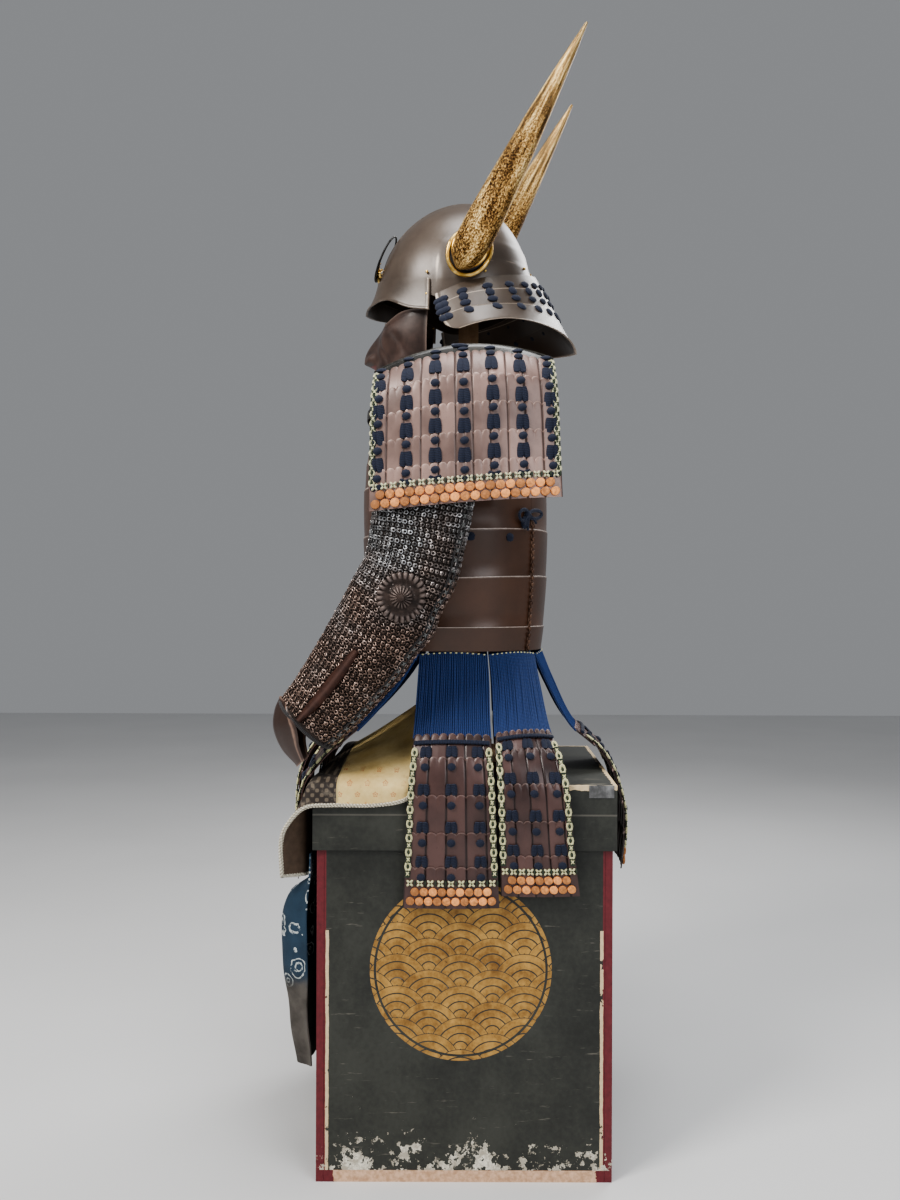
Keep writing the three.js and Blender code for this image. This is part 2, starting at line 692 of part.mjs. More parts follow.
// Hand guard: a curved plate over the back of the hand, past the sleeve's end
const HAND = withRuns([
  { x: 191, y: -250.8, z: 655, turn: -90, half: 20, bow: 8 },
  { x: 191, y: -257.8, z: 637, turn: -90, half: 30, bow: 13 },
  { x: 191, y: -259, z: 612, turn: -90, half: 35, bow: 17 },
  { x: 191, y: -248, z: 584, turn: -90, half: 31, bow: 14 },
  { x: 191, y: -227, z: 560, turn: -90, half: 17, bow: 8 },
]);
const HAND_LENGTH = HAND[HAND.length - 1].run;
const handFace = (proud) => (a, run) => panelPoint({ spine: HAND }, a, run, proud);
addPair(
  "hand_guard",
  shell(
    points(steps(6, -1, 1), steps(6, 0.5, HAND_LENGTH - 0.5), handFace(1)),
    points(steps(6, -1, 1), steps(6, 0.5, HAND_LENGTH - 0.5), handFace(-1.2)),
  ),
  "brown_lacquer",
);

// Ties that hold a shoulder guard and its sleeve on the shoulder strap
const TIE = { y: -8, half: 13, thick: 4 };
function shoulderTie() {
  const strapTop = column(STRAP_LINE.map((row) => ({ ...row, back: -row.y })), "back", "z", -TIE.y);
  const crownEdge = panelPoint(guardPanel, 0, crownRuns(0)[0], 0);
  const guardEnd = { x: crownEdge.x - 2.2, z: crownEdge.z + 1 };
  const line = [
    [STRAP.x - 8, strapTop + STRAP.thick / 2 + GAP + 0.6],
    [STRAP.x + STRAP.half + 8, strapTop + STRAP.thick / 2 + GAP + 0.6],
    [guardEnd.x, guardEnd.z],
  ];
  const outline = new THREE.Shape([
    ...line.map(([x, z]) => new THREE.Vector2(x, z)),
    ...line.reverse().map(([x, z]) => new THREE.Vector2(x, z + TIE.thick)),
  ]);
  const flat = new THREE.ExtrudeGeometry(outline, { depth: 2 * TIE.half, bevelEnabled: false });
  flat.rotateX(Math.PI / 2).translate(0, TIE.y + TIE.half, 0);
  return flat;
}
addPair("shoulder_tie", shoulderTie(), "black_lacquer");

// Helmet: a low bowl with a brow plate, three neck lames, two horns and a crescent

const BOWL = { y: -3, front: 135, back: 99, half: 104, base: 1250, crown: 1392, power: 1.86 };
const BOWL_RIM = [
  { fromFront: 0, z: 1252 },
  { fromFront: 50, z: 1246 },
  { fromFront: 78, z: 1222 },
  { fromFront: 110, z: 1232 },
  { fromFront: 180, z: 1268 },
];

// A point of the bowl; level 0 to 1 climbs from its widest line to the crown.
function bowlPoint(azimuth, level, proud) {
  const climb = (level * Math.PI) / 2;
  const inward = Math.cos(climb) ** (2 / BOWL.power);
  const height = Math.sin(climb) ** (2 / BOWL.power) * (BOWL.crown + proud - BOWL.base);
  const depth = Math.sin(azimuth) < 0 ? BOWL.front : BOWL.back;
  const [x, y] = oval(azimuth, (BOWL.half + proud) * inward, (depth + proud) * inward, 2.1);
  return new THREE.Vector3(x, BOWL.y + y, BOWL.base + height);
}

// The bowl's lower rim is high over the brow and the nape, and low beside the ears.
function bowlRim(azimuth) {
  const fromFront = Math.abs(Math.atan2(Math.cos(azimuth), -Math.sin(azimuth))) / DEGREE;
  return column(BOWL_RIM, "fromFront", "z", fromFront);
}

function bowlRows(columns, levels, proud) {
  const azimuths = ringAzimuths(columns);
  const rim = azimuths.map((a) => bowlPoint(a, 0, proud).setZ(bowlRim(a)));
  const ring = (level) => azimuths.map((a) => bowlPoint(a, level, proud));
  const rows = steps(levels).slice(0, -1).map(ring);
  return [rim, ...rows, [new THREE.Vector3(0, BOWL.y, BOWL.crown + proud)]];
}
add("helmet_bowl", shell(bowlRows(30, 7, 0), bowlRows(15, 5, -WALL.helmet), true), "brown_lacquer");

// Brow plate: leaves the bowl above its rim and sweeps forward and down
const BROW = { spread: 68 * DEGREE, curl: 1.8, lift: 0.6 };
const BROW_EDGE = [
  { away: 0, root: 1268, z: 1223, reach: 17 },
  { away: 0.3, root: 1266, z: 1227, reach: 13 },
  { away: 0.55, root: 1262, z: 1228, reach: 8 },
  { away: 0.8, root: 1257, z: 1212, reach: 4 },
  { away: 1, root: 1252, z: 1206, reach: 3 },
];
function browPoint(across, down, proud) {
  const azimuth = -Math.PI / 2 + across * BROW.spread;
  const [root, low, reach] = ["root", "z", "reach"].map((name) =>
    column(BROW_EDGE, "away", name, Math.abs(across)),
  );
  const height = mix(root, low, down);
  const level = Math.max(height - BOWL.base, 0) / (BOWL.crown - BOWL.base);
  const climb = (2 / Math.PI) * Math.asin(level ** (BOWL.power / 2));
  const onBowl = bowlPoint(azimuth, climb, proud + BROW.lift);
  const out = new THREE.Vector3(Math.cos(azimuth), Math.sin(azimuth), 0);
  return onBowl.setZ(height).addScaledVector(out, reach * down ** BROW.curl);
}
const browRows = (columns, proud) =>
  points(steps(columns, -1, 1), [0, 0.25, 0.5, 0.75, 1], (a, d) => browPoint(a, d, proud));
add("helmet_brow", shell(browRows(16, WALL.helmet), browRows(16, 0)), "brown_lacquer");

// Neck guard: the edges of its three lames, at the nape, beside the ear and at the front end
const NECK_ENDS = [106, 104, 101, 93];
const NECK_LINES = [
  [{ back: 0, r: 114, z: 1283 }, { back: 80, r: 109, z: 1247 }, { back: 106, r: 112, z: 1226 }],
  [{ back: 0, r: 129, z: 1258 }, { back: 80, r: 119, z: 1227 }, { back: 106, r: 117, z: 1206 }],
  [{ back: 0, r: 144, z: 1229 }, { back: 80, r: 130, z: 1204 }, { back: 106, r: 123, z: 1186 }],
  [
    { back: 0, r: 178, z: 1166 },
    { back: 33, r: 168, z: 1180 },
    { back: 60, r: 158, z: 1184 },
    { back: 80, r: 151, z: 1174 },
    { back: 106, r: 134, z: 1150 },
  ],
];
const NECK = { y: -15, lift: 1.6, fold: 2, gap: 0.65 };

// A place on the neck guard: across -1 to 1 from right to left, down 0 to 1 over one lame.
function neckPoint(lame, across, down, proud) {
  const edge = (line) => {
    const back = Math.abs(across) * NECK_ENDS[line];
    const turn = Math.PI / 2 - across * NECK_ENDS[line] * DEGREE;
    const r = column(NECK_LINES[line], "back", "r", back);
    return { r, turn, z: column(NECK_LINES[line], "back", "z", back) };
  };
  const [upper, lower] = [edge(lame), edge(lame + 1)];
  const turn = mix(upper.turn, lower.turn, down);
  const flare = lame === 2 ? 5 * down * (1 - down) : 0;
  const fold = lame === 0 ? NECK.fold * ease(0.93, 1, Math.abs(across)) : 0;
  const r = mix(upper.r, lower.r, down) - flare + fold + proud;
  return new THREE.Vector3(r * Math.cos(turn), NECK.y + r * Math.sin(turn), mix(upper.z, lower.z, down));
}

for (const lame of [0, 1, 2]) {
  const rows = lame === 2 ? [0, 0.5, 1] : [0, 1];
  const height = NECK_LINES[lame][0].z - NECK_LINES[lame + 1][0].z;
  const downs = rows.map((down) => mix(NECK.gap / height, 1, down));
  const outer = points(steps(28, -1, 1), downs, (a, d) =>
    neckPoint(lame, a, d, WALL.helmet + NECK.lift * (1 - d)),
  );
  const inner = points(steps(28, -1, 1), downs, (a, d) => neckPoint(lame, a, d, 0));
  add("neck_lame_" + (lame + 1), shell(outer, inner), "brown_lacquer");
}

// Horns, each with a rounded foot on a black pad at the bowl's side
const HORN = withRuns([
  { x: 124, y: -14, z: 1258, wide: 3, thick: 3 },
  { x: 123.5, y: -8, z: 1268, wide: 17, thick: 10 },
  { x: 123, y: 2, z: 1287, wide: 24.5, thick: 15 },
  { x: 122.5, y: 18, z: 1318, wide: 26, thick: 16 },
  { x: 122, y: 55, z: 1390, wide: 22.5, thick: 14.5 },
  { x: 122.5, y: 102, z: 1482, wide: 15.5, thick: 11 },
  { x: 124, y: 142, z: 1559, wide: 8, thick: 6.5 },
  { x: 126, y: 168, z: 1608, wide: 1.6, thick: 1.6 },
]);
const HORN_LENGTH = HORN[HORN.length - 1].run;

function hornPoint(azimuth, run, proud) {
  const { point, along } = lineAt(HORN, run);
  const outer = new THREE.Vector3(1, 0, 0).addScaledVector(along, -along.x).normalize();
  const fore = outer.clone().cross(along);
  const wide = column(HORN, "run", "wide", run) + proud;
  const thick = column(HORN, "run", "thick", run) + proud;
  const [f, o] = oval(azimuth, wide, thick, 2.2);
  return point.addScaledVector(fore, f).addScaledVector(outer, o);
}

function hornSolid(proud) {
  const runs = [0, 6, 14, 28, 60, 110, 170, 230, 290, 340, HORN_LENGTH];
  const rings = points(ringAzimuths(12), runs, (a, run) => hornPoint(a, run, proud));
  return lump([[lineAt(HORN, -proud).point], ...rings, [lineAt(HORN, HORN_LENGTH + 1 + proud).point]]);
}
addPair("horn", hornSolid(0), "gold");

const HORN_PAD = { y: -2, z: 1280, wide: 24, tall: 28, reach: 118, lean: 26 * DEGREE };
const pad = new THREE.CylinderGeometry(1, 1, 60, 20).rotateZ(Math.PI / 2);
pad.scale(1, HORN_PAD.wide, HORN_PAD.tall).rotateX(-HORN_PAD.lean);
pad.translate(HORN_PAD.reach - 30, HORN_PAD.y, HORN_PAD.z);
const bowlCutter = lump([
  [new THREE.Vector3(0, BOWL.y, BOWL.base - 30)],
  ...bowlRows(32, 7, GAP).slice(0, -1),
  [new THREE.Vector3(0, BOWL.y, BOWL.crown + GAP)],
]);
addPair(
  "horn_pad",
  geometryOf(solidOf(pad).subtract(solidOf(bowlCutter)).subtract(solidOf(hornSolid(GAP)))),
  "black_lacquer",
);

// Crescent at the brow: a thin ring, wider below, on a short socket
const CRESCENT = { outer: 38, inner: 31, rise: 5, thick: 2, y: -128, z: 1311, lean: 26 * DEGREE };
const crescentShape = new THREE.Shape().absarc(0, 0, CRESCENT.outer, 0, ROUND);
crescentShape.holes.push(new THREE.Path().absarc(0, CRESCENT.rise, CRESCENT.inner, 0, ROUND));
const crescent = new THREE.ExtrudeGeometry(crescentShape, {
  depth: CRESCENT.thick,
  bevelEnabled: false,
  curveSegments: 12,
});
crescent.rotateX(Math.PI / 2 - CRESCENT.lean).translate(0, CRESCENT.y, CRESCENT.z);
const socket = new THREE.BoxGeometry(14, 16, 12).rotateX(-CRESCENT.lean / 2).translate(0, -133, 1283);
add(
  "crescent",
  geometryOf(solidOf(join([crescent, socket])).subtract(solidOf(bowlCutter))),
  "gold",
);

// Mask: cheeks, nose and chin, open above the cheekbones, with a bib of lames under the chin

const FACE = [
  { z: 1098, half: 54, front: -126 },
  { z: 1118, half: 66, front: -136 },
  { z: 1142, half: 75, front: -137 },
  { z: 1172, half: 82, front: -136 },
  { z: 1200, half: 85, front: -128 },
  { z: 1216, half: 86, front: -120 },
];
const MASK = { back: -45, spread: 84 * DEGREE, power: 0.8 };
const bump = (at, centre, width) => Math.exp(-(((at - centre) / width) ** 2));

function facePoint(across, z, proud) {
  const turn = across * MASK.spread;
  const side = Math.abs(turn) / DEGREE;
  const nose = 20 * bump(side, 0, 9) * ease(1212, 1152, z) * ease(1141, 1150, z);
  const cheek = 5 * bump(side, 36, 14) * bump(z, 1186, 17);
  const lips = 5 * bump(side, 0, 24) * (bump(z, 1142, 5) + bump(z, 1124, 5));
  const mouth = -8 * bump(side, 0, 20) * bump(z, 1133, 4);
  const chin = 6 * bump(side, 0, 18) * bump(z, 1108, 8);
  const front = column(FACE, "z", "front", z);
  const half = column(FACE, "z", "half", z);
  const relief = nose + cheek + lips + mouth + chin + proud;
  const x = (half + proud) * Math.sin(turn) + relief * 0.3 * Math.sin(turn);
  const y = MASK.back - (MASK.back - front) * Math.cos(turn) ** MASK.power - relief * Math.cos(turn);
  return new THREE.Vector3(x, y, z);
}

// The mask's upper edge rises to the nose and dips under each eye.
function faceTop(across) {
  const away = Math.abs(across);
  return 1212 - 12 * bump(away, 0.36, 0.2) - 4 * bump(away, 0, 0.12);
}
const maskAcross = [-1, -0.8, -0.6, -0.45, -0.3, -0.18, -0.08, 0, 0.08, 0.18, 0.3, 0.45, 0.6, 0.8, 1];
const maskDown = [0, 0.12, 0.2, 0.26, 0.3, 0.36, 0.42, 0.47, 0.56, 0.74, 0.9, 1];
const maskDownInside = [0, 0.2, 0.3, 0.42, 0.56, 0.74, 1];
const maskGrid = (acrossList, downList, proud) =>
  points(acrossList, downList, (a, share) => facePoint(a, mix(FACE[0].z, faceTop(a), share), proud));
add(
  "mask",
  shell(maskGrid(maskAcross, maskDown, WALL.mask), maskGrid(maskAcross, maskDownInside, 0)),
  "brown_lacquer",
);

const BIB_SPREAD = 70 * DEGREE;
const BIB = [
  { z: 1056, half: 68, front: -152, power: 0.1 },
  { z: 1072, half: 67, front: -149, power: 0.12 },
  { z: 1083, half: 64, front: -143, power: 0.2 },
  { z: 1097, half: 57, front: -131, power: 0.7 },
];
function bibPoint(across, z, proud) {
  const turn = across * BIB_SPREAD;
  const front = column(BIB, "z", "front", z);
  const power = column(BIB, "z", "power", z);
  const x = column(BIB, "z", "half", z) * Math.sin(turn);
  return new THREE.Vector3(x, MASK.back - (MASK.back - front) * Math.cos(turn) ** power - proud, z);
}
// Lines across the throat guard as [height, how far it stands off]
const bibLines = [[1056, 0], [1070, 1.5], [1070.3, 0], [1084, 1.5], [1084.3, 0], [1097.7, 1]];
const bibRows = (lines, low, lifted) =>
  lines.map(([z, lift]) => steps(12, -1, 1).map((a) => bibPoint(a, z, low + lift * lifted)));
const bibInside = [bibLines[0], bibLines[2], bibLines[5]];
add("throat_guard", shell(bibRows(bibLines, 2, 1), bibRows(bibInside, 0, 0)), "black_lacquer");

// Thigh guard: an apron split in the middle, over the lap and the box's front edge

const edgeZ = lidTop + 3.2;
// Each row is a line of the sheet: its inner side, middle, the turn at the lid's edge, and its border.
const APRON_NAMES = [
  "inY", "inZ", "midX", "midY", "midZ", "turnX", "turnY", "turnZ", "outX", "outY", "outZ",
];
const APRON = [
  [-30, 660, 40, -30, 660, 72, -28, 656, 92, -24, 648],
  [-64, 636, 74, -61, 620, 150, -55, 585, 176, -52, 570],
  [-78, 626, 88, -75, 605, 192, -66, 555, 208, -66, 543.5],
  [-94, 615, 100, -90, 590, 206, -80, edgeZ, 208.9, -79, 519],
  [-138, 586, 104, -134, 570, 206, -124, edgeZ, 211, -122, 511],
  [-182, 560, 104, -182, 553, 206, -178, edgeZ, 212, -178, 511],
  [-209, 539, 104, -209, 539, 206, -209.4, lidTop + 1.4, 214, -214, 508],
  [-213, 515, 104, -213, 515, 188, -217, 511, 213, -238, 484],
  [-215, 478, 104, -215, 478, 176, -220, 476, 209, -247, 458],
  [-214, 410, 104, -214, 410, 174, -219, 410, 206, -246, 414],
].map((row, k, all) => ({
  inX: 6,
  place: k / (all.length - 1),
  ...Object.fromEntries(row.map((value, n) => [APRON_NAMES[n], value])),
}));
const APRON_TURN = 0.86;

function apronPoint(across, down) {
  const at = (name) => column(APRON, "place", name, down);
  const stations = [
    { share: 0, x: at("inX"), y: at("inY"), z: at("inZ") },
    { share: 0.45, x: at("midX"), y: at("midY"), z: at("midZ") },
    { share: APRON_TURN, x: at("turnX"), y: at("turnY"), z: at("turnZ") },
    { share: 1, x: at("outX"), y: at("outY"), z: at("outZ") },
  ];
  return new THREE.Vector3(...["x", "y", "z"].map((name) => column(stations, "share", name, across)));
}
const apronAcross = [0, 0.15, 0.3, 0.45, 0.6, 0.74, APRON_TURN, 0.93, 1];
addPair(
  "thigh_guard",
  sheetShell(apronAcross, steps(16), apronPoint, WALL.cloth),
  "printed_leather",
);

// Under cloth: hangs in front of the box below the thigh guard, its outer border turned back
const UNDER = [
  { place: 0, z: 440, inY: -210.6, kneeY: -210.8, bulgeX: 168, bulgeY: -211.5, outX: 188, outY: -211 },
  { place: 0.1, z: 408, inY: -210, kneeY: -210.2, bulgeX: 174, bulgeY: -211.5, outX: 194, outY: -211 },
  { place: 0.18, z: 388, inY: -208, kneeY: -218, bulgeX: 178, bulgeY: -238, outX: 199, outY: -212 },
  { place: 0.32, z: 346, inY: -208, kneeY: -226, bulgeX: 178, bulgeY: -251, outX: 201, outY: -214 },
  { place: 0.52, z: 284, inY: -208, kneeY: -224, bulgeX: 177, bulgeY: -249, outX: 200, outY: -211 },
  { place: 0.7, z: 232, inY: -207, kneeY: -219, bulgeX: 170, bulgeY: -242, outX: 192, outY: -214 },
  { place: 1, z: 148, inY: -206, kneeY: -214, bulgeX: 164, bulgeY: -230, outX: 183, outY: -210 },
];
function underPoint(across, down) {
  const at = (name) => column(UNDER, "place", name, down);
  const stations = [
    { share: 0, x: 14, y: at("inY") },
    { share: 0.4, x: 86, y: at("inY") },
    { share: 0.64, x: 140, y: at("kneeY") },
    { share: 0.84, x: at("bulgeX"), y: at("bulgeY") },
    { share: 1, x: at("outX"), y: at("outY") },
  ];
  const [x, y] = ["x", "y"].map((name) => column(stations, "share", name, across));
  return new THREE.Vector3(x, y, at("z"));
}
addPair(
  "under_cloth",
  sheetShell([0, 0.25, 0.4, 0.52, 0.64, 0.74, 0.84, 0.92, 1], steps(9), underPoint, WALL.cloth),
  "indigo_cloth",
);

// Stand: a board on the lid, a post, a waist piece, a shoulder bar, a peg for the mask and a head

const STAND = {
  foot: { low: [-105, -88], high: [105, 100], thick: 16 },
  post: 20,
  waist: { halfWidth: 70, halfDepth: 26, halfTall: 22, z: 663 },
  bar: { halfWidth: 150, halfDepth: 12, tall: 40 },
  neck: 15,
  peg: { half: 8, low: 1112, high: 1124, reach: 133.8 },
};
const { foot, post, waist, bar: crossbar, neck, peg } = STAND;
const barTop = 1138 - STRAP.thick / 2 - GAP - 1.6;
const footTop = lidTop + GAP + foot.thick;
const standPieces = [
  block([...foot.low, lidTop + GAP], [...foot.high, footTop]),
  block([-post, -post, footTop - 1], [post, post, barTop]),
  block(
    [-waist.halfWidth, -waist.halfDepth, waist.z - waist.halfTall],
    [waist.halfWidth, waist.halfDepth, waist.z + waist.halfTall],
  ),
  block(
    [-crossbar.halfWidth, -crossbar.halfDepth, barTop - crossbar.tall],
    [crossbar.halfWidth, crossbar.halfDepth, barTop],
  ),
  block([-neck, -neck, barTop - 1], [neck, neck, 1330]),
  block([-peg.half, -peg.reach, peg.low], [peg.half, 0, peg.high]),
];

const HEAD = { bottom: 1320, top: BOWL.crown - WALL.helmet - 0.5, radius: 50 };
const headProfile = [
  [0, HEAD.bottom],
  [HEAD.radius * 0.9, HEAD.bottom],
  [HEAD.radius, mix(HEAD.bottom, HEAD.top, 0.2)],
  [HEAD.radius * 0.86, mix(HEAD.bottom, HEAD.top, 0.5)],
  [HEAD.radius * 0.5, mix(HEAD.bottom, HEAD.top, 0.84)],
  [0, HEAD.top],
].map(([r, h]) => new THREE.Vector2(r, h));
const head = new THREE.LatheGeometry(headProfile, 20).rotateX(Math.PI / 2).translate(0, BOWL.y, 0);
add("stand", join([...standPieces, head]), "stand_wood");

export default armour;
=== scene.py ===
"""Samurai armour seated on its lacquered storage box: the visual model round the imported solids.

Every new piece is a surface worked out as whole arrays: a function of two parameters on a grid,
a profile carried along lines, or one small shape set down at many places. Sizes are millimetres
until a piece is built. The armour faces -Y, its left side is +X, and the box stands on z = 0.
"""

import math

import bpy
import numpy as np
from bpy.props import FloatProperty, FloatVectorProperty, IntProperty, PointerProperty
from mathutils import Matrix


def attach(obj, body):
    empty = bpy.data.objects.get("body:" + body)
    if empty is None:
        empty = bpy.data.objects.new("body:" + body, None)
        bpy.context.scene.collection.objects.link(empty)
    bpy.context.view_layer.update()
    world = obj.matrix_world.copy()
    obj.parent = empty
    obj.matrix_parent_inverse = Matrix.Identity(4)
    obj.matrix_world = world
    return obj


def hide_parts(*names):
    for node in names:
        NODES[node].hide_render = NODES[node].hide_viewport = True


bl_info = {
    "name": "Samurai Armour on Its Box",
    "version": (1, 0, 0),
    "blender": (4, 5, 0),
    "location": "3D View > Sidebar > Armour",
    "description": "Builds the lacquer, lacing, mail, cloth and gold of a seated armour",
    "category": "Object",
}

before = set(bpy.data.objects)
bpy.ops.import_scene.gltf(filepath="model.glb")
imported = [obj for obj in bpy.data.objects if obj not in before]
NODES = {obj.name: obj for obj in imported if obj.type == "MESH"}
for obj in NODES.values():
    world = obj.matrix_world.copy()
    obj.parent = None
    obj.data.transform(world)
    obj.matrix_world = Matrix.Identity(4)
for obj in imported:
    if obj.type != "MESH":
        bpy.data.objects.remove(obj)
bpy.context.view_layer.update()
MM = 0.001
ROUND = 2 * math.pi
RNG_SEED = 11


# Sums on whole arrays


def mix(low, high, share):
    return low + (high - low) * share


def ease(low, high, at):
    """0 up to low, 1 from high on, and a smooth S between them."""
    share = np.clip((np.asarray(at, float) - low) / (high - low), 0, 1)
    return share * share * (3 - 2 * share)


def bump(at, centre, width):
    """A bell: the exponential of minus the squared distance from the centre, in widths."""
    return np.exp(-(((np.asarray(at, float) - centre) / width) ** 2))


def unit(vectors):
    return vectors / np.maximum(np.linalg.norm(vectors, axis=-1, keepdims=True), 1e-9)


def alike(*values):
    """Numbers or arrays, as arrays of one shape."""
    return np.broadcast_arrays(*(np.asarray(value, float) for value in values))


def vector(x, y, z):
    return np.stack(alike(x, y, z), axis=-1)


OUTER, FORE, UP = np.eye(3) * ((1,), (-1,), (1,))


def ring_turn(count, start=0.0):
    """Evenly spaced angles once round, as one row."""
    return (start + np.arange(count) * ROUND / count)[None]


def smooth(keys, values, at):
    """Cubic through a table's rows: each row's slope is that of the chord between its neighbours.

    A row is a number, or an array whose numbers belong to the places in at.
    """
    keys, at = np.asarray(keys, float), np.asarray(at, float)
    values = np.stack(np.broadcast_arrays(*values))
    last = len(keys) - 1
    index = np.arange(last + 1)
    before, after = np.maximum(index - 1, 0), np.minimum(index + 1, last)
    chord = (keys[after] - keys[before]).reshape(-1, *[1] * (values.ndim - 1))
    slope = (values[after] - values[before]) / chord
    low = np.clip(np.searchsorted(keys, at) - 1, 0, last - 1)
    span = keys[low + 1] - keys[low]
    t = (at - keys[low]) / span

    def pick(rows, row):
        return rows[row] if rows.ndim == 1 else np.take_along_axis(rows, row[None], axis=0)[0]

    return (
        pick(values, low) * (1 + 2 * t) * (1 - t) ** 2
        + pick(slope, low) * span * t * (1 - t) ** 2
        + pick(values, low + 1) * t * t * (3 - 2 * t)
        - pick(slope, low + 1) * span * t * t * (1 - t)
    )


def oval(azimuth, half_x, half_y, power):
    """A rounded oval ring at an azimuth, squarer as its power rises above 2."""
    c, s = np.cos(azimuth), np.sin(azimuth)
    reach = (np.abs(c) ** power + np.abs(s) ** power) ** (-1 / power)
    return half_x * reach * c, half_y * reach * s


class Table:
    """Rows of named columns, read as smooth values of one key column."""

    def __init__(self, key, names, rows):
        self.columns = {name: np.array(column, float) for name, column in zip(names, zip(*rows))}
        self.key = key

    def __call__(self, name, at):
        return smooth(self.columns[self.key], self.columns[name], at)


class Line:
    """A smooth line through a table's rows, placed by run: the length of the straight steps."""

    def __init__(self, names, rows):
        self.columns = {name: np.array(column, float) for name, column in zip(names, zip(*rows))}
        steps = np.diff(vector(*(self.columns[axis] for axis in "xyz")), axis=0)
        self.run = np.concatenate([[0], np.cumsum(np.linalg.norm(steps, axis=1))])
        self.length = self.run[-1]

    def __call__(self, name, run):
        return smooth(self.run, self.columns[name], run)

    def point(self, run):
        return vector(*(self(axis, run) for axis in "xyz"))

    def along(self, run):
        return unit(self.point(np.asarray(run) + 0.5) - self.point(np.asarray(run) - 0.5))


# Meshes


def grid_faces(rows, columns, closed):
    """Four-cornered faces of a grid, whose last column meets the first when it is closed."""
    down, across = np.meshgrid(
        np.arange(rows - 1), np.arange(columns if closed else columns - 1), indexing="ij"
    )
    right = (across + 1) % columns
    corners = [down * columns + across, down * columns + right]
    corners += [(down + 1) * columns + right, (down + 1) * columns + across]
    return np.stack(corners, axis=-1).reshape(-1, 4)


def capped_faces(rings, around, low=True):
    """Faces of a closed grid whose ends meet in poles. The poles' points come after the rings'."""
    index = np.arange(around)
    after = (index + 1) % around
    top, pole = (rings - 1) * around, rings * around
    caps = [(after, index, pole)] if low else []
    caps.append((index + top, after + top, pole + low))
    caps = [np.stack(np.broadcast_arrays(a, b, p, p), axis=-1) for a, b, p in caps]
    return np.concatenate([grid_faces(rings, around, True), *caps])


def ball(around, high):
    """A unit ball, with a ring of points at each height and a pole at each end."""
    turn = ring_turn(around)
    climb = np.linspace(-math.pi / 2, math.pi / 2, high + 1)[1:-1, None]
    rings = vector(np.cos(climb) * np.cos(turn), np.cos(climb) * np.sin(turn), np.sin(climb))
    points = np.concatenate([rings.reshape(-1, 3), [[0, 0, -1], [0, 0, 1]]])
    return points, capped_faces(high - 1, around)


def disc(around, profile, crown):
    """A thick round disc with a rounded rim: rings at the profile's reaches and heights, and a dome."""
    turn = ring_turn(around)
    reach, height = np.array(profile)[:, :1], np.array(profile)[:, 1:]
    rings = vector(reach * np.cos(turn), reach * np.sin(turn), height)
    points = np.concatenate([rings.reshape(-1, 3), [[0, 0, crown]]])
    return points, capped_faces(len(profile), around, low=False)


BALL = ball(8, 5)
DISC = disc(12, ((1, -0.4), (1, 0.45), (0.9, 0.85), (0.6, 1)), 1.06)


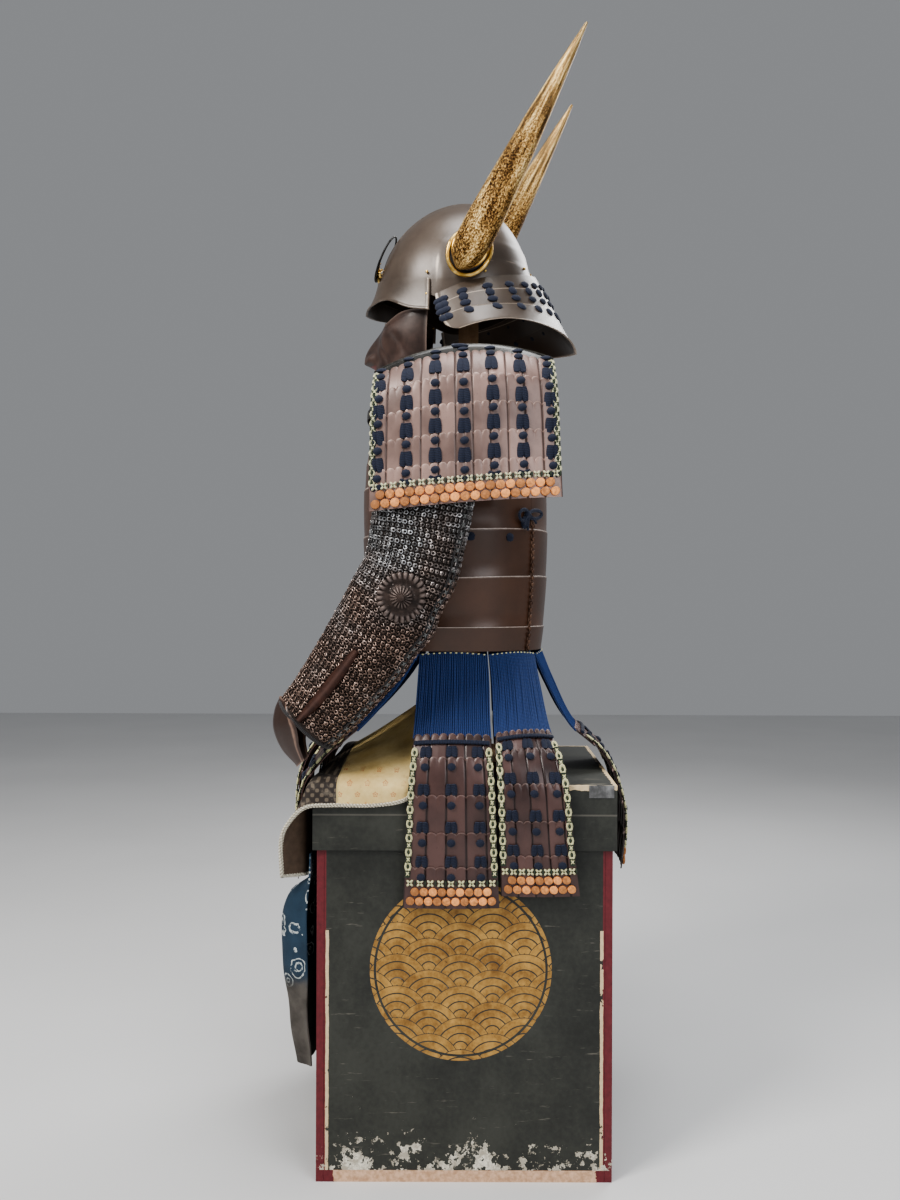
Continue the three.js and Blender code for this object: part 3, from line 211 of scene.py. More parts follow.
class Form:
    """The points and faces of one piece, gathered from grids, tubes and repeated small shapes.

    Each point also has a place on its surface for patterns, and two free values: tone, which
    varies from part to part, and wear, which is 1 at an edge. A face whose last two corners are
    the same is a triangle.
    """

    def __init__(self):
        self.parts = []
        self.count = 0

    def add(self, points, faces, uv=(0, 0), tone=0.5, wear=0.0):
        shape = points.shape[:-1]
        uv = np.stack(alike(*uv), axis=-1)
        part = {
            "points": points.reshape(-1, 3),
            "faces": faces + self.count,
            "uv": np.broadcast_to(uv, shape + (2,)).reshape(-1, 2),
            "tone": np.broadcast_to(tone, shape).ravel(),
            "wear": np.broadcast_to(wear, shape).ravel(),
        }
        self.parts.append(part)
        self.count += points.size // 3
        return self

    def grid(self, points, **values):
        """A surface whose last column meets its first."""
        return self.add(points, grid_faces(*points.shape[:2], True), **values)

    def shell(self, outer, inner, closed=False, **values):
        """Two like grids, joined along their edges into one closed wall."""
        rows, columns = outer.shape[:2]
        faces = grid_faces(rows, columns, closed)
        size = rows * columns
        index = np.arange(size).reshape(rows, columns)
        rims = [index[0], index[-1][::-1]]
        if closed:
            rims = [np.append(rim, rim[0]) for rim in rims]
        else:
            rims += [index[:, -1], index[::-1, 0]]
        sides = [np.stack([r[1:], r[:-1], r[:-1] + size, r[1:] + size], axis=-1) for r in rims]
        faces = np.concatenate([faces, faces[:, ::-1] + size, *sides])
        return self.add(np.stack([outer, inner]), faces, **values)

    def repeat(self, centres, axes, shape, faces, **values):
        """Sets one small shape down at each centre, with its own three axis vectors."""
        centres = np.asarray(centres, float).reshape(-1, 3)
        axes = [np.broadcast_to(a, centres.shape) for a in axes]
        points = centres[:, None] + sum(shape[None, :, k, None] * axes[k][:, None] for k in range(3))
        offsets = np.arange(len(centres))[:, None, None] * len(shape)
        values = {name: np.reshape(v, (-1, 1)) for name, v in values.items()}
        return self.add(points, (faces[None] + offsets).reshape(-1, 4), **values)

    def beads(self, centres, across, down, out, **values):
        """Rounded beads: unit balls stretched by their three axis vectors."""
        return self.repeat(centres, (across, down, out), *BALL, **values)

    def rings(self, centres, across, down, out, thick, segments, sides, **values):
        """Rings in the plane of across and down, as thick as a share of their radius."""
        turn, tilt = ring_turn(segments).T, ring_turn(sides)
        reach = 1 + thick * np.cos(tilt)
        shape = vector(reach * np.cos(turn), reach * np.sin(turn), np.sin(tilt))
        index = np.arange(segments * sides).reshape(segments, sides)
        beside, after = np.roll(index, -1, axis=1), np.roll(index, -1, axis=0)
        faces = np.stack([index, after, np.roll(beside, -1, axis=0), beside], axis=-1)
        axes = (across, down, out)
        return self.repeat(centres, axes, shape.reshape(-1, 3), faces.reshape(-1, 4), **values)

    def tubes(self, paths, out, wide, thick=None, sides=6, **values):
        """Bars along paths: an oval ring across each point, wide along the surface and thick off it."""
        paths = paths.reshape(-1, *paths.shape[-2:])
        bars, length = paths.shape[:2]
        wide = np.broadcast_to(wide, paths.shape[:2])
        thick = wide if thick is None else np.broadcast_to(thick, paths.shape[:2])
        along = unit(np.gradient(paths, axis=1))
        side = unit(np.cross(along, np.broadcast_to(out, paths.shape)))
        up = np.cross(side, along)
        turn = np.arange(sides) * ROUND / sides
        rings = (
            paths[:, :, None]
            + side[:, :, None] * (wide[..., None] * np.cos(turn))[..., None]
            + up[:, :, None] * (thick[..., None] * np.sin(turn))[..., None]
        )
        run = np.zeros((bars, length))
        run[:, 1:] = np.cumsum(np.linalg.norm(np.diff(paths, axis=1), axis=2), axis=1)
        points = np.concatenate([rings.reshape(bars, -1, 3), paths[:, [0, -1]]], axis=1)
        u = np.append(np.tile(turn / ROUND, length), [0, 0])
        v = np.concatenate([np.repeat(run, sides, axis=1), run[:, [0, -1]]], axis=1)
        offsets = np.arange(bars)[:, None, None] * points.shape[1]
        faces = (capped_faces(length, sides)[None] + offsets).reshape(-1, 4)
        return self.add(points, faces, uv=(u, v), **values)

    def merge(self, other):
        """Takes in another form's parts."""
        for part in other.parts:
            self.parts.append({**part, "faces": part["faces"] + self.count})
        self.count += other.count
        return self

    def mirrored(self):
        """The same form on the armour's other side."""
        other = Form()
        for part in self.parts:
            points, faces = part["points"] * (-1, 1, 1), part["faces"][:, [1, 0, 3, 2]]
            other.parts.append({**part, "points": points, "faces": faces})
        return other

    def build(self, name, material, slot, replaces=(), crease=38):
        gathered = {k: np.concatenate([p[k] for p in self.parts]) for k in self.parts[0]}
        faces = gathered["faces"]
        three = faces[:, 3] == faces[:, 2]
        corners = np.concatenate([faces[~three].ravel(), faces[three][:, :3].ravel()])
        sizes = np.where(np.arange(len(faces)) < np.sum(~three), 4, 3)
        mesh = bpy.data.meshes.new(name)
        mesh.vertices.add(len(gathered["points"]))
        mesh.vertices.foreach_set("co", (gathered["points"] * MM).ravel())
        mesh.loops.add(len(corners))
        mesh.loops.foreach_set("vertex_index", corners)
        mesh.polygons.add(len(sizes))
        mesh.polygons.foreach_set("loop_start", np.cumsum(sizes) - sizes)
        mesh.update(calc_edges=True)
        mesh.polygons.foreach_set("use_smooth", np.ones(len(sizes), bool))
        layer = mesh.uv_layers.new(name="UVMap")
        layer.data.foreach_set("uv", (gathered["uv"][corners] * MM).ravel())
        for value in ("tone", "wear"):
            mesh.attributes.new(value, "FLOAT", "POINT").data.foreach_set("value", gathered[value])
        mesh.set_sharp_from_angle(angle=math.radians(crease))
        mesh.materials.append(material)
        piece = bpy.data.objects.new(name, mesh)
        bpy.context.scene.collection.objects.link(piece)
        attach(piece, "root")
        if replaces:
            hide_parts(*replaces)
        return piece

    def build_pair(self, name, material, slot, replaces=(), crease=38):
        """The piece on the left side and its mirror image on the right."""
        made = []
        for side, form in (("left", self), ("right", self.mirrored())):
            nodes = [f"{node}_{side}" for node in replaces]
            made.append(form.build(f"{name}_{side}", material, slot, nodes, crease))
        return made


# Finishes


class Socket:
    """A value on its way through a material. Sums on it add Math nodes."""

    def __init__(self, finish, link):
        self.finish = finish
        self.link = link

    def sum(self, operation, *values):
        return self.finish.node("ShaderNodeMath", {"operation": operation}, values)

    def between(self, low, high):
        """0 at low and 1 at high, held beyond them."""
        inputs = {"Value": self, "From Min": low, "From Max": high}
        return self.finish.node("ShaderNodeMapRange", {"interpolation_type": "SMOOTHSTEP"}, inputs)


SUMS = {
    "__add__": "ADD",
    "__radd__": "ADD",
    "__sub__": "SUBTRACT",
    "__mul__": "MULTIPLY",
    "__rmul__": "MULTIPLY",
    "__truediv__": "DIVIDE",
    "__abs__": "ABSOLUTE",
    "__mod__": "FLOORED_MODULO",
    "over": "GREATER_THAN",
    "under": "LESS_THAN",
    "sine": "SINE",
    "floor": "FLOOR",
    "least": "MINIMUM",
    "most": "MAXIMUM",
    "root": "SQRT",
}


def sum_method(operation):
    return lambda self, *others: self.sum(operation, self, *others)


for method, operation in SUMS.items():
    setattr(Socket, method, sum_method(operation))
Socket.__rsub__ = lambda self, other: self.sum("SUBTRACT", other, self)


class Finish:
    """One material, with its nodes made by name and the sums on them written as expressions."""

    def __init__(self, name):
        self.material = bpy.data.materials.new(name)
        self.material.use_nodes = True
        self.tree = self.material.node_tree
        self.shader = self.tree.nodes["Principled BSDF"]

    def node(self, kind, settings=None, inputs=(), output=0):
        """Adds a node: its settings first, then the numbers or links of its sockets."""
        made = self.tree.nodes.new(kind)
        for name, value in (settings or {}).items():
            if name == "stops":
                self.set_stops(made.color_ramp, value)
            else:
                setattr(made, name, value)
        pairs = inputs.items() if isinstance(inputs, dict) else enumerate(inputs)
        for place, value in pairs:
            self.join(made.inputs[place], value)
        return Socket(self, made.outputs[output])

    def set_stops(self, ramp, stops):
        for k, (place, color) in enumerate(stops):
            stop = ramp.elements[k] if k < 2 else ramp.elements.new(place)
            stop.position = place
            stop.color = (*color, 1)

    def join(self, socket, value):
        if isinstance(value, Socket):
            self.tree.links.new(value.link, socket)
        elif isinstance(value, tuple) and socket.type == "RGBA":
            socket.default_value = (*value[:3], 1)
        else:
            socket.default_value = value

    def place(self):
        return self.node("ShaderNodeTexCoord", None, (), "Object")

    def surface_place(self):
        return self.node("ShaderNodeTexCoord", None, (), "UV")

    def axes(self, place):
        """The three numbers of a place, in millimetres."""
        split = self.tree.nodes.new("ShaderNodeSeparateXYZ")
        self.tree.links.new(place.link, split.inputs[0])
        return [Socket(self, out) * 1000.0 for out in split.outputs]

    def value(self, name):
        return self.node("ShaderNodeAttribute", {"attribute_name": name}, (), "Fac")

    def noise(self, scale, detail=3.0, roughness=0.55, place=None):
        inputs = {"Vector": place or self.place(), "Scale": scale}
        inputs.update({"Detail": detail, "Roughness": roughness})
        return self.node("ShaderNodeTexNoise", None, inputs)

    def cells(self, scale, place):
        """How far the nearest of many scattered points is."""
        return self.node("ShaderNodeTexVoronoi", None, {"Vector": place, "Scale": scale}, "Distance")

    def stretched(self, place, scale):
        return self.node("ShaderNodeMapping", None, {"Vector": place, "Scale": scale})

    def warped(self, place, scale, reach):
        """A place moved about by coloured noise, as far as a reach in metres."""
        noise = self.node("ShaderNodeTexNoise", None, {"Vector": place, "Scale": scale}, "Color")
        centred = self.node("ShaderNodeVectorMath", {"operation": "SUBTRACT"}, (noise, (0.5, 0.5, 0.5)))
        moved = self.node("ShaderNodeVectorMath", {"operation": "MULTIPLY"}, (centred, (reach,) * 3))
        return self.node("ShaderNodeVectorMath", {"operation": "ADD"}, (place, moved))

    def blend(self, share, low, high):
        """A colour from low to high by a share."""
        inputs = {0: share, 6: low, 7: high}
        return self.node("ShaderNodeMix", {"data_type": "RGBA"}, inputs, 2)

    def ramp(self, value, stops):
        return self.node("ShaderNodeValToRGB", {"stops": stops}, (value,))

    def relief(self, height, distance, strength=0.6):
        """A bumped normal from a height, as deep as a distance in millimetres."""
        inputs = {"Height": height, "Distance": distance * MM, "Strength": strength}
        return self.node("ShaderNodeBump", None, inputs)

    def surface(self, **sockets):
        """Sets the shader's sockets, named by their labels with _ for a blank."""
        for name, value in sockets.items():
            self.join(self.shader.inputs[name.replace("_", " ")], value)
        return self.material


def shaded(color, share, lift=0.0):
    """The colour times a share, plus a lift, at most 1."""
    return tuple(min(1, c * share + lift) for c in color)


def lacquer(name, dark, light, gloss, edge_wear_and_highlight=(0.6, 0.5, 0.44), coat=0.35):
    """Brushed lacquer on iron or hide: soft cloudy tones, small dents, and bright edges where the wear
    value is high. These edges are rubbed lacquer, and on the scale rows and the cuirass lames they are also
    a painted highlight.
    """
    finish = Finish(name)
    cloud = finish.noise(16, 4)
    fine = finish.noise(160, 3)
    tone = finish.value("tone")
    color = finish.blend((cloud * 0.7 + tone * 0.5 - 0.1).between(0.15, 0.85), dark, light)
    specks = finish.noise(420, 2).between(0.62, 0.75) * 0.25
    color = finish.blend(specks, color, shaded(dark, 0.45))
    # Edges lighten by the wear value: rubbed lacquer, and on the scale rows and cuirass lames also a
    # painted highlight.
    edge = (finish.value("wear") * (0.55 + fine * 0.7)).between(0.25, 0.95)
    color = finish.blend(edge, color, edge_wear_and_highlight)
    rough = gloss + cloud * 0.16 + fine * 0.1
    normal = finish.relief(cloud * 0.7 + fine * 0.3, 0.7, 0.35)
    return finish.surface(
        Base_Color=color,
        Roughness=rough,
        Metallic=0.15,
        Normal=normal,
        Coat_Weight=coat,
        Coat_Roughness=0.3,
    )


def braid(name, dark, light, pitch=2.2):
    """Flat silk braid: slanted ribs along each cord, and a soft sheen."""
    finish = Finish(name)
    u, v = finish.axes(finish.surface_place())[:2]
    ribs = (v * (ROUND / pitch) + u * 6.0).sine() * 0.5 + 0.5
    hair = finish.noise(900, 2)
    color = finish.blend((ribs * 0.6 + hair * 0.4).between(0.2, 0.9), dark, light)
    normal = finish.relief(ribs + hair * 0.5, 0.35, 0.6)
    return finish.surface(Base_Color=color, Roughness=0.85, Normal=normal, Sheen_Weight=0.12)


GOLD_STOPS = [
    (0.22, (0.035, 0.014, 0.004)),
    (0.46, (0.26, 0.14, 0.045)),
    (0.62, (0.6, 0.39, 0.15)),
    (0.85, (0.95, 0.78, 0.42)),
]


def gold_leaf(name):
    """Gold leaf: coarse dark pits and bright grains low on a horn, long smooth streaks to its tip."""
    finish = Finish(name)
    z = finish.axes(finish.place())[2]
    tip = z.between(1400, 1580)
    along = finish.surface_place()
    grains = finish.noise(520, 5, 0.75, finish.stretched(along, (1, 0.5, 1))).between(0.38, 0.62)
    streaks = finish.noise(140, 4, 0.6, finish.stretched(along, (1, 0.1, 1))).between(0.36, 0.64)
    patches = finish.noise(40, 4, 0.6, finish.stretched(along, (1, 0.25, 1))).between(0.38, 0.62)
    mottle = grains * (1 - tip * 0.6) + streaks * tip * 0.6
    mottle = mottle * 0.5 + patches * 0.24 + streaks * 0.22
    color = finish.blend(tip * 0.18, finish.ramp(mottle, GOLD_STOPS), (0.7, 0.52, 0.26))
    normal = finish.relief(grains * (1.1 - tip) + streaks * 0.4, 1.3, 0.8)
    rough = 0.4 - tip * 0.12 + grains * 0.12
    return finish.surface(Base_Color=color, Roughness=rough, Metallic=0.92, Normal=normal)


def plain_gold(name):
    """Bright gilding with soft clouds."""
    finish = Finish(name)
    cloud = finish.noise(90, 4)
    color = finish.blend(cloud.between(0.35, 0.7), (0.55, 0.33, 0.08), (0.95, 0.7, 0.28))
    return finish.surface(Base_Color=color, Roughness=0.22 + cloud * 0.2, Metallic=0.95)


def iron(name, dark, light):
    """Russet or blackened iron: fine grain, rust clouds and bright rubbed edges, which on the rosette's
    petals and flutes are also a painted highlight.
    """
    finish = Finish(name)
    cloud = finish.noise(60, 5, 0.65)
    grain = finish.noise(700, 2)
    color = finish.blend(cloud.between(0.3, 0.7), dark, light)
    # Lightens by the wear value: rubbed iron, and on the rosette's crests also a painted highlight.
    color = finish.blend(finish.value("wear") * 0.7, color, shaded(light, 3, 0.12))
    normal = finish.relief(cloud * 0.6 + grain * 0.4, 0.5, 0.5)
    return finish.surface(Base_Color=color, Roughness=0.42 + cloud * 0.2, Metallic=0.55, Normal=normal)


def mail_iron(name):
    """Small iron rings: cool and bright on the upper arm, browner with rust below."""
    finish = Finish(name)
    z = finish.axes(finish.place())[2]
    rust = (finish.noise(22, 4) * 0.9 + (900 - z).between(-60, 260) * 0.5).between(0.34, 0.95)
    tone = finish.value("tone")
    bright = finish.blend(tone, (0.045, 0.04, 0.037), (0.66, 0.68, 0.7))
    brown = finish.blend(tone, (0.06, 0.038, 0.03), (0.47, 0.34, 0.28))
    color = finish.blend(rust, bright, brown)
    return finish.surface(Base_Color=color, Roughness=0.3, Metallic=0.75)


def woven(name, dark, light, threads=1.1):
    """Plain weave: two sets of threads that cross, with worn and faded patches."""
    finish = Finish(name)
    u, v = (axis * (ROUND / threads) for axis in finish.axes(finish.surface_place())[:2])
    weave = u.sine() * v.sine() * 0.5 + 0.5
    fade = finish.noise(28, 4)
    color = finish.blend((weave * 0.45 + fade * 0.7).between(0.2, 0.95), dark, light)
    normal = finish.relief(weave + fade, 0.35, 0.6)
    return finish.surface(Base_Color=color, Roughness=0.9, Normal=normal, Sheen_Weight=0.2)


# Sizes that the panel shows


class ArmourSizes(bpy.types.PropertyGroup):
    """Sizes of the lacing, mail and roundel"""

    strand_radius: FloatProperty(
        name="Strand radius",
        description="Radius of one suspension cord",
        default=1.05 * MM,
        min=0.5 * MM,
        max=3 * MM,
        precision=5,
        unit="LENGTH",
        subtype="DISTANCE",
    )
    strands: IntProperty(
        name="Strands",
        description="Suspension cords above each tasset",
        default=38,
        min=8,
        max=60,
        subtype="UNSIGNED",
    )
    ring_pitch: FloatProperty(
        name="Ring pitch",
        description="Distance between two mail rings",
        default=6.5 * MM,
        min=4 * MM,
        max=12 * MM,
        precision=5,
        unit="LENGTH",
        subtype="DISTANCE",
    )
    dot_pitch: FloatProperty(
        name="Dot pitch",
        description="Distance between two orange dots",
        default=13 * MM,
        min=8 * MM,
        max=20 * MM,
        precision=5,
        unit="LENGTH",
        subtype="DISTANCE",
    )
    roundel_radius: FloatProperty(
        name="Roundel radius",
        description="Radius of the gold roundel",
        default=123 * MM,
        min=40 * MM,
        max=160 * MM,
        precision=5,
        unit="LENGTH",
        subtype="DISTANCE",
    )


class ArmourColors(bpy.types.PropertyGroup):
    """Colours of the lacing and plates"""

    navy: FloatVectorProperty(
        name="Navy lacing",
        description="Colour of the laced braid",
        default=(0.002, 0.0042, 0.014),
        subtype="COLOR",
    )
    blue: FloatVectorProperty(
        name="Blue cords",
        description="Colour of the suspension cords",
        default=(0.009, 0.027, 0.1),
        subtype="COLOR",
    )
    orange: FloatVectorProperty(
        name="Orange dots",
        description="Colour of the dotted lacing",
        default=(0.78, 0.32, 0.11),
        subtype="COLOR",
    )
    brown: FloatVectorProperty(
        name="Brown lacquer",
        description="Colour of the plates",
        default=(0.085, 0.038, 0.021),
        subtype="COLOR",
    )


# Camera, light and floor

CAMERA = {"x": 1650, "y": 22, "z": 780, "focal_px": 1073, "frame_px": 1200, "side_px": 32, "down_px": 5}
ROLL = math.radians(-0.2)
SENSOR = 36
FLOOR = [(x, y, 0) for x, y in ((-6, -6), (6, -6), (6, 6), (-6, 6))]
# Each lamp's name, place, size, power, target and colour
LAMPS = (
    ("key", (1.7, -1.7, 2.7), 1.0, 78, (0.2, -0.1, 0.95), (1, 0.97, 0.93)),
    ("fill", (2.4, 1.4, 1.6), 1.4, 27, (0.1, 0, 0.8), (0.93, 0.96, 1)),
    ("back", (-1.5, 1.2, 2.4), 1.2, 26, (0, 0, 1.0), (1, 1, 1)),
    ("top", (0.5, 0.1, 3.0), 1.0, 36, (0, 0, 1.0), (1, 1, 1)),
)


class ARMOUR_OT_stage(bpy.types.Operator):
    """Camera at the photograph's place, pale floor and soft studio light"""

    bl_idname = "armour.stage"
    bl_label = "Stage"

    def execute(self, context):
        scene = context.scene
        lens = bpy.data.cameras.new("camera")
        camera = bpy.data.objects.new("camera", lens)
        lens.sensor_width = SENSOR
        lens.lens = SENSOR * CAMERA["focal_px"] / CAMERA["frame_px"]
        lens.shift_x = -CAMERA["side_px"] / CAMERA["frame_px"]
        lens.shift_y = CAMERA["down_px"] / CAMERA["frame_px"]
        lens.clip_start = 0.05
        camera.location = [CAMERA[axis] * MM for axis in "xyz"]
        camera.rotation_euler = (math.pi / 2, ROLL, math.pi / 2)
        scene.collection.objects.link(camera)
        scene.camera = camera
        for lamp in LAMPS:
            self.light(*lamp)
        world = bpy.data.worlds.new("studio")
        world.use_nodes = True
        background = world.node_tree.nodes["Background"]
        background.inputs["Color"].default_value = (0.8, 0.82, 0.85, 1)
        background.inputs["Strength"].default_value = 0.3
        scene.world = world
        scene.view_settings.view_transform = "AgX"
        scene.view_settings.look = "AgX - Medium High Contrast"
        mesh = bpy.data.meshes.new("floor")
        mesh.from_pydata(FLOOR, [], [(0, 1, 2, 3)])
        mesh.materials.append(self.floor_finish())
        floor = bpy.data.objects.new("floor", mesh)
        scene.collection.objects.link(floor)
        return {"FINISHED"}

    def light(self, name, place, size, power, target, color):
        lamp = bpy.data.lights.new(name, "AREA")
        lamp.energy, lamp.size, lamp.color = power, size, color
        made = bpy.data.objects.new(name, lamp)
        aim = [target[k] - place[k] for k in range(3)]
        flat = math.hypot(aim[0], aim[1])
        spin = math.atan2(aim[1], aim[0]) - math.pi / 2
        made.rotation_euler = (math.atan2(flat, -aim[2]), 0, spin)
        made.location = place
        bpy.context.scene.collection.objects.link(made)

    def floor_finish(self):
        finish = Finish("pale_floor")
        color = finish.blend(finish.noise(1.5, 2), (0.62, 0.62, 0.62), (0.7, 0.7, 0.7))
        return finish.surface(Base_Color=color, Roughness=0.9)


# Cuirass

TORSO = Table(
    "z",
    ("z", "half", "front", "back"),
    [
        (714, 138, -142, 112),
        (749, 146, -150, 115),
        (819, 157, -155, 119),
        (886, 165, -157, 120),
        (952, 168, -156, 118),
        (1018, 165, -149, 112),
        (1075, 150, -132, 102),
        (1110, 134, -112, 90),
    ],
)
TORSO_POWER = 2.3
LAME_TOPS = (714, 749, 819, 886, 952)
CHEST_LINES = [
    (0.05, 0, 0),
    (0.3, 0.8, 0),
    (0.32, 0.1, 0.5),
    (0.6, 0, 0),
    (0.9, 0, 0),
    (0.97, 2.4, 0.3),
    (0.99, 3, 0.9),
    (1, 1.5, 0.7),
]
LAME_LIFT = 1.5
LAME_SLOPE = 0.045
ARMHOLE = {"bottom": 985, "front": 90, "back": 123}
SEAM_LEFT, SEAM_RIGHT, SEAM_GAP = math.radians(50), math.radians(130), 0.0013


def torso_point(azimuth, z, proud):
    """An oval ring at each height, whose half sizes run smoothly through the table."""
    front, back = TORSO("front", z), TORSO("back", z)
    x, y = oval(azimuth, TORSO("half", z) + proud, (back - front) / 2 + proud, TORSO_POWER)
    return vector(x, (front + back) / 2 + y, z)


def torso_top(azimuth):
    """The top edge: armhole height, raised by smooth steps to the chest and to the nape."""
    away = np.degrees(np.abs(np.arctan2(np.cos(azimuth), np.sin(azimuth))))
    front, back = ease(118, 148, away) * ARMHOLE["front"], (1 - ease(32, 60, away)) * ARMHOLE["back"]
    return ARMHOLE["bottom"] + front + back


def cuirass_plate(start, end, columns):
    """Lames round the torso: each leans out to its top edge, which laps over the lame above.

    A line across the plate is its height, how proud it stands, and its wear, which lightens each lame's top
    edge as rubbed lacquer and a painted highlight.
    """
    azimuth = np.linspace(start, end, columns)[None]
    lines = []
    for low, high in zip(LAME_TOPS[:-1], LAME_TOPS[1:]):
        lines += [(mix(low, high, share), LAME_LIFT * share, 0) for share in (0.005, 0.3, 0.65, 0.93)]
        # Painted highlight, partly rubbed lacquer: wear 0.6 and 1 just below each lame's top edge lighten
        # it.
        lines += [(high - 1.2, LAME_LIFT, 0.6), (high - 0.3, LAME_LIFT * 0.85, 1), (high, 0.2, 0)]
    lames, chest = np.array(lines)[..., None], np.array(CHEST_LINES)[..., None]
    top = mix(LAME_TOPS[-1], torso_top(azimuth), chest[:, 0])
    height = np.concatenate([lames[:, 0] + 0 * azimuth, top])
    lift, wear = (np.concatenate([lames[:, k], chest[:, k]]) for k in (1, 2))
    slope = LAME_SLOPE * bump(height, 852, 75) * (height < 952)
    height = height + slope * torso_point(azimuth, height, 0)[..., 1]
    outer = torso_point(azimuth, height, lift)
    inner = torso_point(azimuth, height, -2.4)
    tone = np.searchsorted(LAME_TOPS, height) * 0.37 % 1 * 0.5 + 0.2
    return Form().shell(outer, inner, uv=(azimuth * 150, height), wear=wear, tone=tone)


HINGE = {"bottom": 718, "top": 902, "pitch": 9.2, "proud": 3.2}


def round_axes(azimuth):
    """Level unit vectors out of the torso and round it at an azimuth."""
    return vector(np.cos(azimuth), np.sin(azimuth), 0), vector(-np.sin(azimuth), np.cos(azimuth), 0)


def side_hinge():
    """Rust-red knuckles up the seam, a bead for each, on a thin pin."""
    z = np.arange(HINGE["bottom"], HINGE["top"], HINGE["pitch"])
    place = torso_point(SEAM_LEFT, z, HINGE["proud"])
    up = unit(np.gradient(place, axis=0))
    out = round_axes(SEAM_LEFT)[0]
    tone = np.arange(len(z)) % 2 * 0.6 + 0.2
    form = Form().beads(place, np.cross(up, out) * 3.2, up * 3.9, out * 2.6, tone=tone)
    return form.tubes(torso_point(SEAM_LEFT, np.linspace(714, 905, 40), 1.6), out, 2.6, 1.3)


def lacing_dots():
    """Pairs of cord knots that close the lames, along one height round the sides."""
    azimuth = np.radians([-34, -12, 10, 33, 147, 170, 192, 214])
    place = torso_point(azimuth, 876.0, 1.6)
    out, side = round_axes(azimuth)
    form = Form().beads(place, side * 6.6, UP * 5.6, out * 3)
    return form.beads(place - UP * 3.5, side * 6, UP * 3.5, out * 2.4)


def side_bow():
    """A tied cord at the top of the hinge: a knot, two loops and three hanging ends."""
    centre = torso_point(math.radians(45), 908.0, 4)
    out, side = round_axes(SEAM_LEFT)
    form = Form().beads(centre, side * 7, UP * 7.5, out * 4.5)
    form.beads(centre - UP * 11 - side * 7, side * 8, UP * 10, out * 4)
    turn = np.linspace(0, ROUND, 25)[:, None]
    for reach, rise, high in ((15, 1.5, 6), (-11, -1, 8)):
        open_out = 1 - np.cos(turn)
        loop = centre + side * reach * open_out + UP * (high * np.sin(turn) + rise * open_out)
        form.tubes(loop + out * 2, out, 2.7, 1.9)
    fall = np.linspace(0, 1, 12)[:, None]
    for reach, drop in ((16, 11), (-4, 22), (-12, 15)):
        form.tubes(centre + side * reach * fall - UP * drop * fall**1.5 + out * 3, out, 2.0, 1.6)
    return form


STRAP_LINE = Line(
    ("x", "y", "z"),
    [(95, 66, 1088), (95, 44, 1124), (95, 6, 1138), (95, -48, 1130), (95, -92, 1104), (95, -114, 1079)],
)


def shoulder_strap():
    """A padded plate strap over the shoulder, thick in the middle and rolled at its edges."""
    across = np.linspace(-1, 1, 21)[None]
    run = np.linspace(0.5, STRAP_LINE.length - 0.5, 40)[:, None]
    out = np.cross(STRAP_LINE.along(run), OUTER)
    out *= np.sign(out[..., 2:3])
    edge = np.abs(across) ** 10
    middle = STRAP_LINE.point(run) + across[..., None] * OUTER * 22
    outer = middle + out * (2.9 - edge * 1.6 + 1.2 * bump(np.abs(across), 0.88, 0.05))[..., None]
    inner = middle - out * (2.9 - edge * 1.2)[..., None]
    wear = bump(np.abs(across), 0.9, 0.06)
    return Form().shell(outer[::-1], inner[::-1], wear=wear)


class ARMOUR_OT_cuirass(bpy.types.Operator):
    """Lacquered lames of the cuirass, its hinge, side cord, lacing dots and shoulder straps"""

    bl_idname = "armour.cuirass"
    bl_label = "Cuirass"

    def execute(self, context):
        brown = context.scene.armour_colors.brown
        plate = lacquer("brown_lacquer_plate", shaded(brown, 0.55), shaded(brown, 1.25), 0.3)
        navy = cord_finish("navy_knots", context.scene.armour_colors.navy)
        front = cuirass_plate(SEAM_RIGHT + SEAM_GAP, SEAM_LEFT + ROUND - SEAM_GAP, 160)
        front.build("cuirass_front_lames", plate, "brown_lacquer", ["cuirass_front"], crease=60)
        back = cuirass_plate(SEAM_LEFT + SEAM_GAP, SEAM_RIGHT - SEAM_GAP, 70)
        back.build("cuirass_back_lames", plate, "brown_lacquer", ["cuirass_back"], crease=60)
        rust = iron("russet_hinge", (0.05, 0.023, 0.014), (0.17, 0.095, 0.062))
        side_hinge().build("side_hinge_knuckles", rust, "rust_iron", ["side_hinge"])
        side_bow().build("side_bow_cord", navy, "blue_cord", ["side_bow"])
        lacing_dots().build("cuirass_lacing_dots", navy, "blue_cord")
        shoulder_strap().build_pair("shoulder_strap_plate", plate, "brown_lacquer", ["shoulder_strap"])
        return {"FINISHED"}


def cord_finish(name, color, light=3.2):
    """Navy, blue or orange braid: the given colour and a lighter shade of it."""
    return braid(name, tuple(color), shaded(color, light, 0.006))


# Laced panels: tassets and shoulder guards

LIFT, TUCK, NOTCH = 2.6, 0.4, 3.8
PANEL_NAMES = ("x", "y", "z", "turn", "half", "bow")


